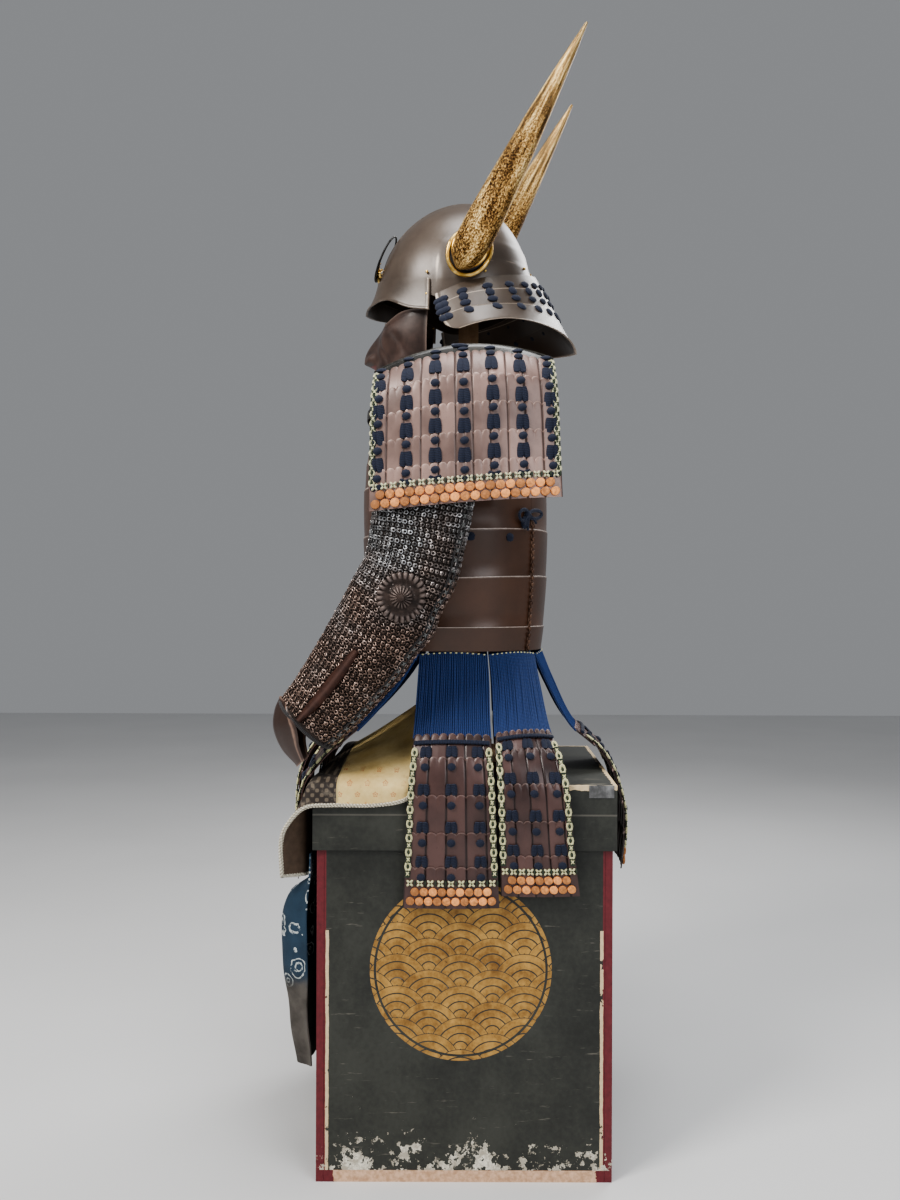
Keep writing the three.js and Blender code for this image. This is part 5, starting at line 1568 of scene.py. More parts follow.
def bowl_point(azimuth, level, proud):
    """A squared dome: each ring shrinks by a power of the cosine as it climbs by that of the sine."""
    climb = level * math.pi / 2
    inward = np.abs(np.cos(climb)) ** (2 / BOWL["power"])
    height = np.abs(np.sin(climb)) ** (2 / BOWL["power"]) * (BOWL["crown"] + proud - BOWL["base"])
    depth = np.where(np.sin(azimuth) < 0, BOWL["front"], BOWL["back"])
    x, y = oval(azimuth, (BOWL["half"] + proud) * inward, (depth + proud) * inward, 2.1)
    return vector(x, BOWL["y"] + y, BOWL["base"] + height)


def helmet_bowl():
    """The bowl's wall: rim, then rings up the dome, with the plates' overlaps as small steps."""
    azimuth = ring_turn(160)
    away = np.degrees(np.abs(np.arctan2(np.cos(azimuth), -np.sin(azimuth))))
    level = np.linspace(0, 0.995, 56)[:, None]

    def rows(proud, steps):
        base = bowl_point(azimuth, 0.0, proud)
        rim = vector(base[..., 0], base[..., 1], BOWL_RIM("z", away))
        dome = bowl_point(azimuth, level, proud + steps * plate_steps(azimuth, level))
        return np.concatenate([rim, mix(rim, base, 0.5), dome])

    wear = np.concatenate([np.zeros((2, 160)), plate_edges(azimuth, level)])
    form = Form().shell(rows(0, 1), rows(-2.4, 0), closed=True, wear=wear)
    crown = bowl_point(azimuth[0], 0.995, 0.9)
    top = np.array([0, BOWL["y"], BOWL["crown"] + 0.6])
    return form.grid(np.stack([crown, np.broadcast_to(top, crown.shape)]))


def plate_edges(azimuth, level):
    """1 on the edges between the bowl's plates: the side seams, the long top plate and low bands."""
    x = bowl_point(azimuth, level, 0)
    seam = bump(x[..., 1], -44, 1.2) * (x[..., 2] < 1312) * (x[..., 2] > 1245)
    top_plate = bump(np.abs(x[..., 0]), 30, 1.2) * (x[..., 2] > 1300)
    low_band = bump(x[..., 2], 1275 + 0.12 * x[..., 1], 1.3) * (x[..., 1] > -20)
    brow_band = bump(x[..., 2], 1336 - 0.35 * (x[..., 1] + 110), 1.2)
    brow_band = brow_band * (x[..., 1] < -45) * (x[..., 2] < 1345)
    return np.clip(seam + 0.55 * top_plate + 0.6 * low_band + 0.45 * brow_band, 0, 1)


def plate_steps(azimuth, level):
    """The plates' overlaps: the parts behind a seam, below a band and beside the top plate stand out."""
    x = bowl_point(azimuth, level, 0)
    behind = ease(-45, -44, x[..., 1]) * (1 - ease(1308, 1316, x[..., 2]))
    below = (1 - ease(1274, 1276, x[..., 2] - 0.12 * x[..., 1])) * ease(-22, -16, x[..., 1])
    beside = 1 - ease(29.5, 31, np.abs(x[..., 0]))
    return 1.0 * behind + 0.8 * below + 0.9 * beside * ease(1290, 1310, x[..., 2])


BROW = Table(
    "away",
    ("away", "root", "z", "reach"),
    [
        (0, 1268, 1223, 17),
        (0.3, 1266, 1227, 13),
        (0.55, 1262, 1228, 8),
        (0.8, 1257, 1212, 4),
        (1, 1252, 1206, 3),
    ],
)


def brow_plate():
    """The brow plate: leaves the bowl at its root and curls outwards to a rolled lower edge."""
    across = np.linspace(-1, 1, 121)[None]
    down = np.linspace(0, 1, 28)[:, None]
    away = np.abs(across)
    azimuth = -math.pi / 2 + across * math.radians(68)
    height = mix(BROW("root", away), BROW("z", away), down)
    lip = 1.3 * bump(down, 0.97, 0.03) + 1.1 * bump(away, 0.985, 0.012)
    reach = BROW("reach", away) * down**1.8

    def face(proud):
        point = bowl_point(azimuth, bowl_level(height), proud + 0.6)
        point[..., 2] = height
        return point + round_axes(azimuth)[0] * reach[..., None]

    wear = bump(down, 0.985, 0.02) + bump(away, 0.99, 0.01) + 0.35 * bump(down, 0, 0.02)
    return Form().shell(face(2.2 + lip), face(-0.2), wear=np.clip(wear, 0, 1))


NECK_ENDS = (106, 104, 101, 93)
NECK_TABLES = (
    [(0, 114, 1283), (80, 109, 1247), (106, 112, 1226)],
    [(0, 129, 1258), (80, 119, 1227), (106, 117, 1206)],
    [(0, 144, 1229), (80, 130, 1204), (106, 123, 1186)],
    [(0, 178, 1166), (33, 168, 1180), (60, 158, 1184), (80, 151, 1174), (106, 134, 1150)],
)
NECK_LINES = [Table("back", ("back", "r", "z"), rows) for rows in NECK_TABLES]
NECK_Y = -15


def neck_point(lame, across, down, proud):
    """Between a lame's two edges, which are rings of varying radius and height round the neck."""
    across, down, proud = alike(across, down, proud)
    back = [np.abs(across) * NECK_ENDS[line] for line in (lame, lame + 1)]
    turn = math.pi / 2 - np.sign(across) * np.radians(mix(back[0], back[1], down))
    upper, lower = NECK_LINES[lame : lame + 2]
    r, z = (mix(upper(name, back[0]), lower(name, back[1]), down) for name in ("r", "z"))
    r = r - (5 * down * (1 - down) if lame == 2 else 0) + proud
    return vector(r * np.cos(turn), NECK_Y + r * np.sin(turn), z)


def neck_lame(lame):
    """One lame of the neck guard: a thin wall with a rolled lower edge and rounded front corners."""
    lowest = lame == 2
    across = np.linspace(-1, 1, 161)[None]
    away = np.abs(across)
    top = 0.65 / (60 if lowest else 34)
    down = np.linspace(top, 1, 20 if lowest else 12)[:, None]
    if lowest:
        down = down * (1 - 0.5 * np.clip((away - 0.93) / 0.07, 0, 1) ** 2.5)
    edge = bump(down, 1, 0.05) * lowest
    end = bump(away, 0.99, 0.01)
    proud = 2.2 + 1.6 * (1 - down) + 1.3 * edge + end
    if not lowest:
        down = down * 1.06
    wear = np.clip(bump(down, 0.02, 0.03) * (lame > 0) + edge + end, 0, 1)
    outer, inner = neck_point(lame, across, down, proud), neck_point(lame, across, down, 0)
    return Form().shell(outer, inner, wear=wear)


NECK_KNOTS = (
    (0, 0.72, 8.6, 5.4, 3.0),
    (1, 0.66, 8.6, 5.4, 3.0),
    (1, 0.2, 7.4, 7.2, 3.6),
    (2, 0.17, 7.4, 7.2, 3.6),
)


def neck_lacing():
    """Navy knots in two rows on the neck guard: flat ones above each edge and round ones below."""
    form = Form()
    columns = np.array([0.955, 0.985, 0.83, 0.66, 0.5, 0.36, 0.24, 0.12, 0.0])
    columns = np.concatenate([columns, -columns[:-1]])
    for lame, share, wide, long, thick in NECK_KNOTS:

        def spot(a, d):
            return neck_point(lame, columns + a, share + d, 3.6)

        side = unit(spot(0.01, 0) - spot(-0.01, 0))
        fall = unit(spot(0, 0.02) - spot(0, -0.02))
        centre = spot(0, 0)
        form.beads(centre, side * wide, fall * long, np.cross(side, fall) * thick)
    return form


def helmet_rivets():
    """Small bright rivets by the brow plate's ends and above the neck guard."""
    azimuth = np.radians([-24, -24, 16, 60, 90])
    azimuth = np.concatenate([azimuth, math.pi - azimuth])
    z = np.tile([1262, 1230, 1262, 1281, 1287], 2)
    place = bowl_point(azimuth, bowl_level(z), 3.0)
    place[..., 2] = z
    return Form().beads(place, *np.eye(3) * 2.2, wear=1)


HORN = Line(
    ("x", "y", "z", "wide", "thick"),
    [
        (124, -14, 1258, 3, 3),
        (123.5, -8, 1268, 17, 10),
        (123, 2, 1287, 24.5, 15),
        (122.5, 18, 1318, 26, 16),
        (122, 55, 1390, 22.5, 14.5),
        (122.5, 102, 1482, 15.5, 11),
        (124, 142, 1559, 8, 6.5),
        (126, 168, 1608, 1.6, 1.6),
    ],
)


def horn():
    """The gilded horn: a rounded foot and a long taper, with a slight ridge on its outer side."""
    azimuth = ring_turn(64, -math.pi / 2)
    run = np.concatenate([np.linspace(0.5, 40, 30), np.linspace(44, HORN.length, 80)])[:, None]
    wide = HORN("wide", run) / 26
    ridge = 1.5 * bump(np.cos(azimuth - math.pi / 2), 1, 0.05) * ease(20, 80, run) * wide
    points = limb_point(HORN, azimuth, run, 0, ridge, 2.1)
    form = Form().grid(points, uv=(azimuth * 20, run))
    for at, way in ((0, 1), (-1, -1)):
        ring = points[at]
        tip = np.broadcast_to(ring.mean(axis=0) - HORN.along(run[at])[0] * way * 0.6, ring.shape)
        form.grid(np.stack([tip, ring][::way]))
    return form


HORN_LEAN = math.radians(26)


def horn_plane(y, z, a, b):
    """Places in a plane beside the bowl, from its middle along its two leaning axes."""
    c, s = math.cos(HORN_LEAN), math.sin(HORN_LEAN)
    return y + a * c + b * s, z - a * s + b * c


def horn_rings():
    """Two gold cords round the horn's foot, in planes that follow the bowl's side."""
    form = Form()
    turn = np.linspace(0, ROUND, 121)
    for grow, proud, thick in ((4.5, 1.2, 2.7), (13.5, -1.0, 3.0)):
        a, b = (21.5 + grow * 0.62) * np.cos(turn), (26 + grow * 0.72) * np.sin(turn)
        y, z = horn_plane(5 - grow * 0.2, 1293 - grow * 0.6, a, b)
        path = vector(121 + proud - 6.5 * np.clip(b / 26, 0, 1), y, z)
        form.tubes(path, OUTER, thick, 2.6, sides=10, wear=0.75)
    return form


PAD_LINES = ((88, 1), (104, 1), (114, 0.99), (117.5, 0.95), (118.6, 0.86), (118.8, 0.5), (118.8, 0.01))


def horn_pad():
    """The black foot between the bowl and the horn: a leaning oval drum with a rounded rim."""
    turn = ring_turn(96)
    x, scale = np.array(PAD_LINES)[:, :1], np.array(PAD_LINES)[:, 1:]
    y, z = horn_plane(2, 1288, 27.5 * scale * np.cos(turn), 33 * scale * np.sin(turn))
    return Form().grid(vector(x, y, z)[::-1])


def crescent():
    """A thin open ring at the brow, wider below."""
    turn = ring_turn(120)
    section = ring_turn(12).T
    wide = mix(1.6, 6.0, 0.5 - 0.5 * np.sin(turn))
    r = 38 - wide + wide * np.cos(section)
    y, z = horn_plane(-128, 1311, -1.4 * np.sin(section), r * np.sin(turn))
    points = vector(r * np.cos(turn), y, z)
    return Form().grid(np.concatenate([points, points[:1]])[::-1], wear=0)


def crescent_socket():
    """The gilt socket: a boss with two small curled leaves on each side."""
    centres = [[0, -137, 1281], [0, -139, 1292]]
    form = Form().beads(centres, [[9, 0, 0], [6, 0, 0]], [[0, 4, 2], [0, 3, 2]], [[0, 0, 9], [0, 0, 7]])
    share = np.linspace(0, 1, 14)
    for way in (-1, 1):
        for reach, rise, radius in ((17, 14, 2.6), (13, -6, 2.2)):
            x = way * reach * np.sin(share * 2.2)
            path = vector(x, -139 + 4 * share, 1285 + rise * share + 5 * np.sin(share * 3))
            form.tubes(path, FORE + UP * 0.3, radius * (1.1 - share * 0.7), 1.8, sides=8)
    return form


class ARMOUR_OT_helmet(bpy.types.Operator):
    """Lacquered helmet: bowl, brow plate, laced neck guard, gilded horns and crescent"""

    bl_idname = "armour.helmet"
    bl_label = "Helmet"

    def execute(self, context):
        dark, light, edge = (0.036, 0.025, 0.018), (0.1, 0.072, 0.052), (0.42, 0.34, 0.27)
        plate = lacquer("helmet_lacquer", dark, light, 0.27, edge)
        navy = cord_finish("navy_neck_knots", context.scene.armour_colors.navy)
        gold = plain_gold("gilt_mounts")
        black = lacquer("black_horn_pad", (0.008, 0.007, 0.006), (0.02, 0.017, 0.014), 0.3)
        grey = iron("crescent_iron", (0.02, 0.02, 0.02), (0.1, 0.1, 0.1))
        helmet_bowl().build("helmet_bowl_plates", plate, "brown_lacquer", ["helmet_bowl"], crease=70)
        brow_plate().build("helmet_brow_plate", plate, "brown_lacquer", ["helmet_brow"], crease=60)
        for lame in range(3):
            name = f"neck_lame_{lame + 1}"
            neck_lame(lame).build(name + "_plate", plate, "brown_lacquer", [name], crease=60)
        neck_lacing().build("neck_lacing", navy, "blue_cord")
        helmet_rivets().build("helmet_rivets", gold, "gold")
        horn().build_pair("horn_gilded", gold_leaf("horn_gold_leaf"), "gold", ["horn"])
        horn_rings().build_pair("horn_foot_rings", gold, "gold")
        horn_pad().build_pair("horn_pad_lacquered", black, "black_lacquer", ["horn_pad"])
        crescent().build("crescent_ring", grey, "gold", ["crescent"])
        crescent_socket().build("crescent_socket", gold, "gold")
        return {"FINISHED"}


# Mask

FACE = Table(
    "z",
    ("z", "half", "front"),
    [
        (1098, 54, -126),
        (1118, 66, -136),
        (1142, 75, -137),
        (1172, 82, -136),
        (1200, 85, -128),
        (1216, 86, -120),
    ],
)
MASK = {"back": -45, "spread": math.radians(84), "power": 0.8}


def face_top(across):
    away = np.abs(across)
    return 1212 - 12 * bump(away, 0.36, 0.2) - 4 * bump(away, 0, 0.12)


def face_relief(side, z):
    """Nose, nostrils, cheeks, two grooves, lips, mouth and chin: bells at each one's place."""
    nose = 20 * bump(side, 0, 8 + 3 * ease(1175, 1150, z)) * ease(1212, 1152, z) * ease(1141, 1150, z)
    nostril = 6.5 * bump(side, 11, 5) * bump(z, 1154, 8)
    cheek = 6.5 * bump(side, 40, 14) * bump(z, 1184, 15) + 4.5 * bump(side, 30, 8) * bump(z, 1160, 14)
    groove = -3.2 * bump(side - (1196 - z) * 0.42, 18, 3.2)
    groove = groove * ease(1120, 1135, z) * (1 - ease(1192, 1200, z))
    wrinkle = -1.6 * bump(z - 0.35 * (side - 40), 1199, 2.2) * ease(22, 30, side) * (1 - ease(60, 70, side))
    lips = 5 * bump(side, 0, 24) * (bump(z, 1142, 5) + bump(z, 1124, 5))
    mouth = -9 * bump(side, 0, 20) * bump(z, 1133, 4)
    chin = 6 * bump(side, 0, 18) * bump(z, 1108, 8)
    pocket = -4.5 * bump(side, 50, 9) * bump(z, 1152, 10) + 3 * bump(side, 58, 8) * bump(z, 1136, 16)
    jaw = -2.5 * bump(side - (1150 - z) * 0.5, 66, 4) * ease(1104, 1116, z) * (1 - ease(1176, 1190, z))
    return nose + nostril + cheek + groove + wrinkle + lips + mouth + chin + pocket + jaw


def face_point(across, z, proud):
    """A half cylinder round the face, raised by the relief."""
    turn = across * MASK["spread"]
    relief = face_relief(np.degrees(np.abs(turn)), z) + proud
    front, half = FACE("front", z), FACE("half", z)
    x = (half + proud) * np.sin(turn) + relief * 0.3 * np.sin(turn)
    y = MASK["back"] - (MASK["back"] - front) * np.cos(turn) ** MASK["power"] - relief * np.cos(turn)
    return vector(x, y, z)


def mask_form():
    """The mask's wall from chin to nose, with a rolled rim all round and reddened lips."""
    across = np.linspace(-1, 1, 113)[None]
    share = np.linspace(0, 1, 68)[:, None]
    z = mix(1098, face_top(across), share)
    rim = np.clip(bump(share, 1, 0.012) + bump(np.abs(across), 1, 0.012), 0, 1)
    side = np.degrees(np.abs(across * MASK["spread"]))
    red = bump(side, 0, 20) * (bump(z, 1141, 4.5) + bump(z, 1125, 4.5))
    outer, inner = face_point(across, z, 2.5 + 1.2 * rim), face_point(across, z, 0.4)
    return Form().shell(outer, inner, wear=rim, tone=np.clip(red, 0, 1))


def mask_finish():
    """Brown lacquer with a dull red on the lips."""
    finish = Finish("mask_lacquer")
    cloud = finish.noise(30, 4)
    fine = finish.noise(220, 3)
    color = finish.blend(cloud.between(0.3, 0.7), (0.024, 0.013, 0.01), (0.075, 0.043, 0.033))
    color = finish.blend(finish.value("tone").between(0.35, 0.8), color, (0.2, 0.045, 0.035))
    color = finish.blend(finish.value("wear") * 0.6, color, (0.3, 0.22, 0.18))
    normal = finish.relief(cloud * 0.5 + fine * 0.5, 0.5, 0.4)
    return finish.surface(
        Base_Color=color, Roughness=0.3 + cloud * 0.2, Normal=normal, Coat_Weight=0.3, Coat_Roughness=0.25
    )


BIB = Table(
    "z",
    ("z", "half", "front", "power"),
    [(1056, 68, -152, 0.1), (1072, 67, -149, 0.12), (1083, 64, -143, 0.2), (1097, 57, -131, 0.7)],
)


def throat_guard():
    """Three plain lames under the chin, each lapping over the one above."""
    form = Form()
    turn = np.linspace(-1, 1, 61)[None] * math.radians(70)
    share = np.linspace(0, 1, 10)[:, None]
    lift = 1.8 + 1.5 * share - bump(share, 1, 0.05)
    wear = bump(share, 0.97, 0.05)[::-1]
    for low, high in ((1056.5, 1071), (1069, 1085), (1083, 1097)):
        z = mix(low, high, share)
        y = MASK["back"] - (MASK["back"] - BIB("front", z)) * np.cos(turn) ** BIB("power", z)
        outer = vector(BIB("half", z) * np.sin(turn), y - lift, z)[::-1]
        form.shell(outer, outer - FORE * 1.2, wear=wear)
    return form


class ARMOUR_OT_mask(bpy.types.Operator):
    """Half mask with its throat guard"""

    bl_idname = "armour.mask"
    bl_label = "Mask"

    def execute(self, context):
        dark, light, edge = (0.008, 0.007, 0.006), (0.025, 0.02, 0.017), (0.2, 0.17, 0.14)
        black = lacquer("throat_guard_lacquer", dark, light, 0.25, edge)
        mask_form().build("mask_face", mask_finish(), "brown_lacquer", ["mask"], crease=70)
        throat_guard().build("throat_guard_lames", black, "black_lacquer", ["throat_guard"], crease=60)
        return {"FINISHED"}


# Thigh guard and the cloth below it

LID_TOP = 537
EDGE_Z = LID_TOP + 3.2
APRON_NAMES = ("inY", "inZ", "midX", "midY", "midZ", "turnX", "turnY", "turnZ", "outX", "outY", "outZ")
APRON_ROWS = [
    (-30, 660, 40, -30, 660, 72, -28, 656, 92, -24, 648),
    (-64, 636, 74, -61, 620, 150, -55, 585, 176, -52, 570),
    (-78, 626, 88, -75, 605, 192, -66, 555, 207.5 + 0.5, -66, 543.5),
    (-94, 615, 100, -90, 590, 206, -80, EDGE_Z, 208.9, -79, 519),
    (-138, 586, 104, -134, 570, 206, -124, EDGE_Z, 211, -122, 511),
    (-182, 560, 104, -182, 553, 206, -178, EDGE_Z, 212, -178, 511),
    (-209, 539, 104, -209, 539, 206, -209.4, LID_TOP + 1.4, 214, -214, 508),
    (-213, 515, 104, -213, 515, 188, -217, 511, 213, -238, 484),
    (-215, 478, 104, -215, 478, 176, -220, 476, 209, -247, 458),
    (-214, 410, 104, -214, 410, 174, -219, 410, 206, -246, 414),
]
APRON_TURN = 0.86
APRON = Table("down", ("down", *APRON_NAMES), [(k / 9, *row) for k, row in enumerate(APRON_ROWS)])


def apron_point(across, down):
    """Lines across the lap at each table row: inner side, middle, the turn at the lid, and border."""
    across, down = alike(across, down)
    at = {name: APRON(name, down) for name in APRON_NAMES}
    at["inX"] = 6
    x, y, z = ([at[place + axis] for place in ("in", "mid", "turn", "out")] for axis in "XYZ")
    x, y, z = (smooth((0, 0.45, APRON_TURN, 1), [v + 0 * down for v in line], across) for line in (x, y, z))
    return vector(x, y, z)


def sheet(surface, rows, columns, ripple, size):
    """A thin sheet: the surface moved by half its wall, and a ripple, along its own normal."""
    across, down = alike(np.linspace(0, 1, columns)[None], np.linspace(0, 1, rows)[:, None])
    step = 0.004
    along = surface(across + step, down) - surface(across - step, down)
    fall = surface(across, down + step) - surface(across, down - step)
    normal = unit(np.cross(along, fall))
    outer, inner = (
        surface(across, down) + normal * (ripple(across, down) + wall)[..., None] for wall in (1.1, -1.1)
    )
    return Form().shell(outer, inner, uv=(across * size[0], down * size[1]))


def apron_ripple(across, down):
    wave = 0.54 * np.sin(across * 31 + down * 9) * ease(0.1, 0.3, across)
    return wave * (1 - ease(0.8, 0.9, across)) * (1 - ease(0.5, 0.66, down))


def apron_border(radius=2.0):
    """The twisted cord round the apron: two strands that wind about its outer and lower borders."""
    form = Form()
    down = np.concatenate([np.linspace(0.24, 1, 220), np.full(80, 1.0)])
    across = np.concatenate([np.full(220, 1.0), np.linspace(1, 0.02, 80)])
    point = apron_point(across, down)
    steps = np.gradient(point, axis=0)
    side = unit(np.cross(unit(steps), [0.3, 0.2, 1.0]))
    up = np.cross(side, unit(steps))
    turn = np.cumsum(np.linalg.norm(steps, axis=1))[:, None] / 8 * ROUND
    for phase in (0, math.pi):
        wind = side * np.cos(turn + phase) + up * np.sin(turn + phase)
        form.tubes(point + wind * radius * 0.7, up, radius, sides=5, tone=0.8 if phase else 0.2)
    return form


def apron_finish():
    """Cream leather with sparse orange flowers, a dark brocade panel in front, brown lining, and a painted
    shadow that darkens the leather towards the waist.
    """
    finish = Finish("printed_thigh_leather")
    y, z = finish.axes(finish.place())[1:]
    stain = finish.noise(18, 5, 0.6)
    fine = finish.noise(150, 4)
    cloud = (stain * 0.8 + fine * 0.25).between(0.3, 0.75)
    leather = finish.blend(cloud, (0.6, 0.42, 0.16), (0.78, 0.62, 0.31))
    spots = finish.noise(60, 5, 0.7).between(0.56, 0.72)
    leather = finish.blend(spots * 0.5, leather, (0.4, 0.24, 0.1))
    pitch = 24.0
    row = (z / (pitch * 0.6)).floor()
    du = (y + row * 11.0) % pitch - pitch / 2
    dv = z % (pitch * 0.6) - pitch * 0.3
    petals = finish.node("ShaderNodeMath", {"operation": "ARCTAN2"}, (dv, du)) * 5.0
    radius = (du * du + dv * dv).root()
    flower = abs(radius - 2.6 - petals.sine() * 0.7).under(0.62)
    flower = flower.most(radius.under(0.8)) * finish.noise(40, 2).between(0.3, 0.5)
    flower = flower * (z - 555.0).between(4, -3)
    leather = finish.blend(flower * 0.8, leather, (0.5, 0.16, 0.05))
    figure = ((y * 0.5).sine() * (z * 0.5).sine()).between(0.1, 0.5)
    brocade = finish.blend(figure, (0.03, 0.022, 0.018), (0.14, 0.11, 0.08))
    brocade = finish.blend(finish.noise(90, 3).between(0.5, 0.7) * 0.5, brocade, (0.25, 0.21, 0.16))
    # Painted shadow under the arm: the leather darkens towards the waist, with a ragged lower edge.
    shade = (z + stain * 50.0).between(622, 652)
    leather = finish.blend(shade * 0.85, leather, (0.15, 0.095, 0.045))
    front = (0 - y - 171.0).between(0, 1.2)
    color = finish.blend(front, leather, brocade)
    seam = abs(y + 171.0).under(1.3)
    color = finish.blend(seam, color, (0.55, 0.42, 0.2))
    lining = finish.blend(finish.noise(120, 4), (0.045, 0.028, 0.018), (0.13, 0.085, 0.055))
    below = (0 - y - 212.0).between(0, 3) * (500 - z).between(-14, 6)
    color = finish.blend(below, color, lining)
    normal = finish.relief(fine + stain * 0.6, 0.8, 0.45)
    return finish.surface(Base_Color=color, Roughness=0.7 + fine * 0.15, Normal=normal)


UNDER_NAMES = ("z", "inY", "kneeY", "bulgeX", "bulgeY", "outX", "outY")
UNDER = Table(
    "place",
    ("place", *UNDER_NAMES),
    [
        (0, 440, -210.6, -210.8, 168, -211.5, 188, -211),
        (0.1, 408, -210, -210.2, 174, -211.5, 194, -211),
        (0.18, 388, -208, -218, 178, -238, 199, -212),
        (0.32, 346, -208, -226, 178, -251, 201, -214),
        (0.52, 284, -208, -224, 177, -249, 200, -211),
        (0.7, 232, -207, -219, 170, -242, 192, -214),
        (1, 148, -206, -214, 164, -230, 183, -210),
    ],
)


def under_point(across, down):
    """Hangs in front of the box: flat inside, a bulge near its outer border, and a turned-back edge."""
    across, down = alike(across, down)
    z, flat, knee, bulge_x, bulge_y, out_x, out_y = (UNDER(name, down) for name in UNDER_NAMES)
    shares = (0, 0.4, 0.64, 0.84, 1)
    x = smooth(shares, (14 + 0 * down, 86, 140, bulge_x, out_x), across)
    y = smooth(shares, (flat, flat, knee, bulge_y, out_y), across)
    return vector(x, y, z)


def under_ripple(across, down):
    """Creases that are sums of sine waves, from below the hanging cloth's top."""
    crease = 1.4 * np.sin(across * 23 + 2 * np.sin(down * 5)) + 0.8 * np.sin(down * 21 + across * 7)
    return crease * ease(0.15, 0.35, down) * ease(0.05, 0.2, across)


def under_finish():
    """Indigo cloth with white outline flames above, faded brown-grey towards its lower end."""
    finish = Finish("indigo_under_cloth")
    place = finish.surface_place()
    u, v = finish.axes(place)[:2]
    fade = finish.noise(24, 4)
    weave = (u * (ROUND / 0.9)).sine() * (v * (ROUND / 0.9)).sine() * 0.5 + 0.5
    blotch = (fade * 0.7 + weave * 0.3).between(0.25, 0.75)
    blue = finish.blend(blotch, (0.006, 0.017, 0.034), (0.024, 0.058, 0.098))
    flames = finish.cells(40, finish.warped(finish.stretched(place, (1.25, 0.8, 1)), 70, 0.012))
    outline = abs(flames - 0.37).under(0.035).most(abs(flames - 0.17).under(0.03))
    outline = outline * finish.noise(160, 3).between(0.36, 0.5)
    blue = finish.blend(outline * 0.85, blue, (0.62, 0.66, 0.64))
    grey = finish.blend(fade.between(0.3, 0.7), (0.045, 0.038, 0.032), (0.13, 0.115, 0.1))
    color = finish.blend((v + fade * 40.0).between(195, 225), blue, grey)
    normal = finish.relief(weave + fade, 0.4, 0.6)
    return finish.surface(Base_Color=color, Roughness=0.95, Normal=normal, Sheen_Weight=0.05)


class ARMOUR_OT_thigh_guard(bpy.types.Operator):
    """Printed leather apron over the lap and the cloth that hangs below it"""

    bl_idname = "armour.thigh_guard"
    bl_label = "Thigh guard"

    def execute(self, context):
        cord = braid("pale_border_cord", (0.32, 0.29, 0.22), (0.7, 0.66, 0.56), 3)
        apron = sheet(apron_point, 90, 60, apron_ripple, (260, 420))
        leather = apron_finish()
        for piece in apron.build_pair("thigh_guard_apron", leather, "printed_leather", ["thigh_guard"]):
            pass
        cloth = sheet(under_point, 64, 72, under_ripple, (230, 330))
        indigo = under_finish()
        for piece in cloth.build_pair("under_cloth_hanging", indigo, "indigo_cloth", ["under_cloth"]):
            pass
        apron_border().build_pair("thigh_guard_border", cord, "printed_leather")
        return {"FINISHED"}


# Storage box and stand


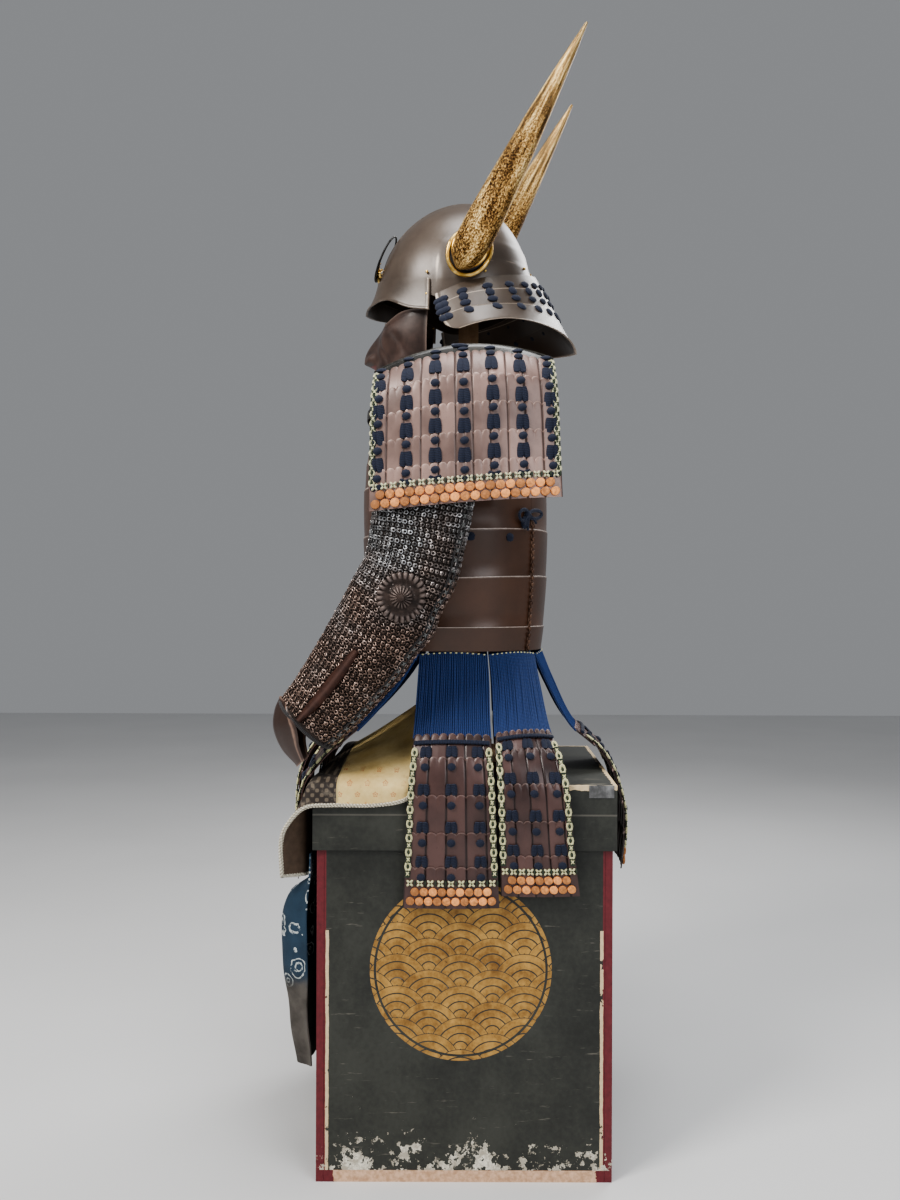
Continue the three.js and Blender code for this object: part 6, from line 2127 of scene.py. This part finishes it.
def box_finish(radius):
    """Aged black lacquer on thin boards: red corners, bare wood where it is chipped, a gold roundel.

    The roundel is a generic disc of overlapping waves: arcs round rows of centres, each row half
    a wave to the side of the one above.
    """
    finish = Finish("aged_black_lacquer")
    x, y, z = finish.axes(finish.place())
    cloud = finish.noise(9, 5, 0.6)
    fine = finish.noise(140, 4, 0.6)
    dust = finish.noise(38, 5, 0.7)
    mottle = (cloud * 0.8 + fine * 0.3).between(0.3, 0.8)
    black = finish.blend(mottle, (0.011, 0.012, 0.0095), (0.047, 0.049, 0.04))
    scratches = finish.noise(60, 4, 0.7, finish.stretched(finish.place(), (1, 0.25, 3)))
    black = finish.blend(scratches.between(0.62, 0.7) * 0.45, black, (0.24, 0.22, 0.18))
    gold_mask = roundel(abs(x), y, z, radius)
    patina = (dust * 0.8 + fine * 0.4).between(0.35, 0.85)
    gold = finish.blend(patina, (0.2, 0.095, 0.024), (0.56, 0.335, 0.1))
    color = finish.blend(gold_mask * fine.between(0.2, 0.32), black, gold)
    lid_line = abs(z - 497.0).under(1.2)
    color = finish.blend(lid_line * 0.6, color, (0.14, 0.13, 0.11))
    side_edge = abs(y).over(187.0) * abs(x).over(199.5)
    front_edge = abs(x).over(187.0) * abs(y).over(199.5)
    corner = side_edge.most(front_edge) * z.under(449.0)
    red = finish.blend(fine, (0.06, 0.005, 0.009), (0.21, 0.025, 0.033))
    color = finish.blend(corner, color, red)
    strip = abs(abs(y) - 187.0 + dust * 3.0).under(2.2) * abs(x).over(199.0) * z.under(340.0)
    bare = finish.blend(fine, (0.5, 0.36, 0.19), (0.8, 0.66, 0.45))
    color = finish.blend(strip * dust.over(0.4), color, bare)
    worn_lid = (abs(y).most(abs(x)) - 203.0).between(-9, 3) * (z - 532.0).between(-6, 4)
    worn_lid = worn_lid * (y - 20.0).between(0, 60) * 0.6 + dust
    color = finish.blend(worn_lid.over(0.8), color, bare)
    cluster = finish.noise(9, 3)
    crumbs = finish.noise(95, 5, 0.7)
    chips = dust * 0.8 + crumbs * 0.75 + cluster * 0.5 + (100 - z).between(0, 96) * 0.26
    chips = chips.over(1.29) * z.under(115.0)
    white = finish.blend(crumbs.between(0.4, 0.62), (0.86, 0.82, 0.7), (0.42, 0.38, 0.3))
    color = finish.blend(chips, color, white)
    rail = z.under(16.0)
    rail_wood = finish.blend(fine.between(0.3, 0.7), (0.5, 0.3, 0.18), (0.75, 0.51, 0.35))
    rail_red = (abs(y) - 150.0).between(0, 45) + dust
    color = finish.blend(rail, color, finish.blend(rail_red.over(1.2), rail_wood, red))
    rough = 0.42 + cloud * 0.3 - gold_mask * 0.1
    normal = finish.relief(cloud * 0.5 + fine * 0.2 - chips * 0.4, 1.2, 0.5)
    return finish.surface(Base_Color=color, Roughness=rough, Metallic=gold_mask * 0.35, Normal=normal)


ROUNDEL = {"y": -5, "z": 287, "wave": 86.0}


def roundel(x, y, z, radius):
    """1 on the gold of the wave disc on the box's two sides, and 0 on its dark lines."""
    dy, dz = y - ROUNDEL["y"], z - ROUNDEL["z"]
    disc = (dy * dy + dz * dz).root()
    wave = ROUNDEL["wave"]
    lines, taken = 0.0, 0.0
    for step in (1, 0):
        row = (dz / (wave / 4)).floor() - step
        along = (dy + (row % 2.0) * (wave / 2)) % wave - wave / 2
        up = dz - row * (wave / 4)
        away = (along * along + up * up).root()
        inside = away.under(wave / 2) * (1.0 - taken)
        lines = abs((away / (wave / 8)) % 1.0 - 0.5).over(0.42) * inside + lines
        taken = inside + taken
    rim = abs(disc - (radius - 7.0)).under(1.6)
    gold = (1.0 - lines.least(1.0)) * (1.0 - rim)
    return gold * disc.under(radius) * x.over(199.5)


def wood_finish(name):
    """Brown wood with a long upright grain."""
    finish = Finish(name)
    grain = finish.noise(30, 5, 0.6, finish.stretched(finish.place(), (1, 1, 0.12)))
    fine = finish.noise(300, 3)
    streak = (grain * 0.8 + fine * 0.2).between(0.3, 0.7)
    color = finish.blend(streak, (0.18, 0.1, 0.05), (0.42, 0.27, 0.15))
    normal = finish.relief(grain + fine * 0.4, 0.5, 0.5)
    return finish.surface(Base_Color=color, Roughness=0.65, Normal=normal)


def corner_fitting():
    """A small grey sheet-metal patch on the lid's rear upper corner."""
    y = 184 + 17 * np.linspace(-1, 1, 21)[None]
    z = LID_TOP + 0.7 - 17 * np.linspace(0, 1, 15)[:, None]
    outer = vector(206.2, y, z)
    return Form().shell(outer, outer - OUTER * 0.6)


class ARMOUR_OT_storage_box(bpy.types.Operator):
    """Lacquered storage box with its lid, and the wooden stand inside the armour"""

    bl_idname = "armour.storage_box"
    bl_label = "Storage box and stand"

    def execute(self, context):
        lacquered = box_finish(context.scene.armour_sizes.roundel_radius / MM)
        for side in ("bottom", "front", "back", "side_left", "side_right", "lid"):
            NODES[f"box_{side}"].material_slots[0].material = lacquered
        NODES["stand"].material_slots[0].material = wood_finish("stand_cedar")
        grey = iron("grey_corner_iron", (0.1, 0.1, 0.1), (0.3, 0.3, 0.3))
        corner_fitting().build("lid_corner_fitting", grey, "rust_iron")
        return {"FINISHED"}


# Panel, registration and main

OPERATORS = (
    ARMOUR_OT_stage,
    ARMOUR_OT_storage_box,
    ARMOUR_OT_cuirass,
    ARMOUR_OT_tassets,
    ARMOUR_OT_shoulder_guards,
    ARMOUR_OT_sleeves,
    ARMOUR_OT_helmet,
    ARMOUR_OT_mask,
    ARMOUR_OT_thigh_guard,
)


class ARMOUR_PT_panel(bpy.types.Panel):
    """Sizes, colours and building steps of the armour"""

    bl_label = "Samurai armour"
    bl_space_type = "VIEW_3D"
    bl_region_type = "UI"
    bl_category = "Armour"

    def draw(self, context):
        for group in (context.scene.armour_sizes, context.scene.armour_colors):
            for name in group.bl_rna.properties.keys():
                if name not in ("rna_type", "name"):
                    self.layout.prop(group, name)
        for operator in OPERATORS:
            self.layout.operator(operator.bl_idname)


CLASSES = (ArmourSizes, ArmourColors, *OPERATORS, ARMOUR_PT_panel)


def register():
    for made in CLASSES:
        bpy.utils.register_class(made)
    bpy.types.Scene.armour_sizes = PointerProperty(type=ArmourSizes)
    bpy.types.Scene.armour_colors = PointerProperty(type=ArmourColors)


def unregister():
    del bpy.types.Scene.armour_colors
    del bpy.types.Scene.armour_sizes
    for made in reversed(CLASSES):
        bpy.utils.unregister_class(made)


def main():
    register()
    bpy.ops.armour.stage()
    bpy.ops.armour.storage_box()
    bpy.ops.armour.cuirass()
    bpy.ops.armour.tassets()
    bpy.ops.armour.shoulder_guards()
    bpy.ops.armour.sleeves()
    bpy.ops.armour.helmet()
    bpy.ops.armour.mask()
    bpy.ops.armour.thigh_guard()


if __name__ == "__main__":
    main()
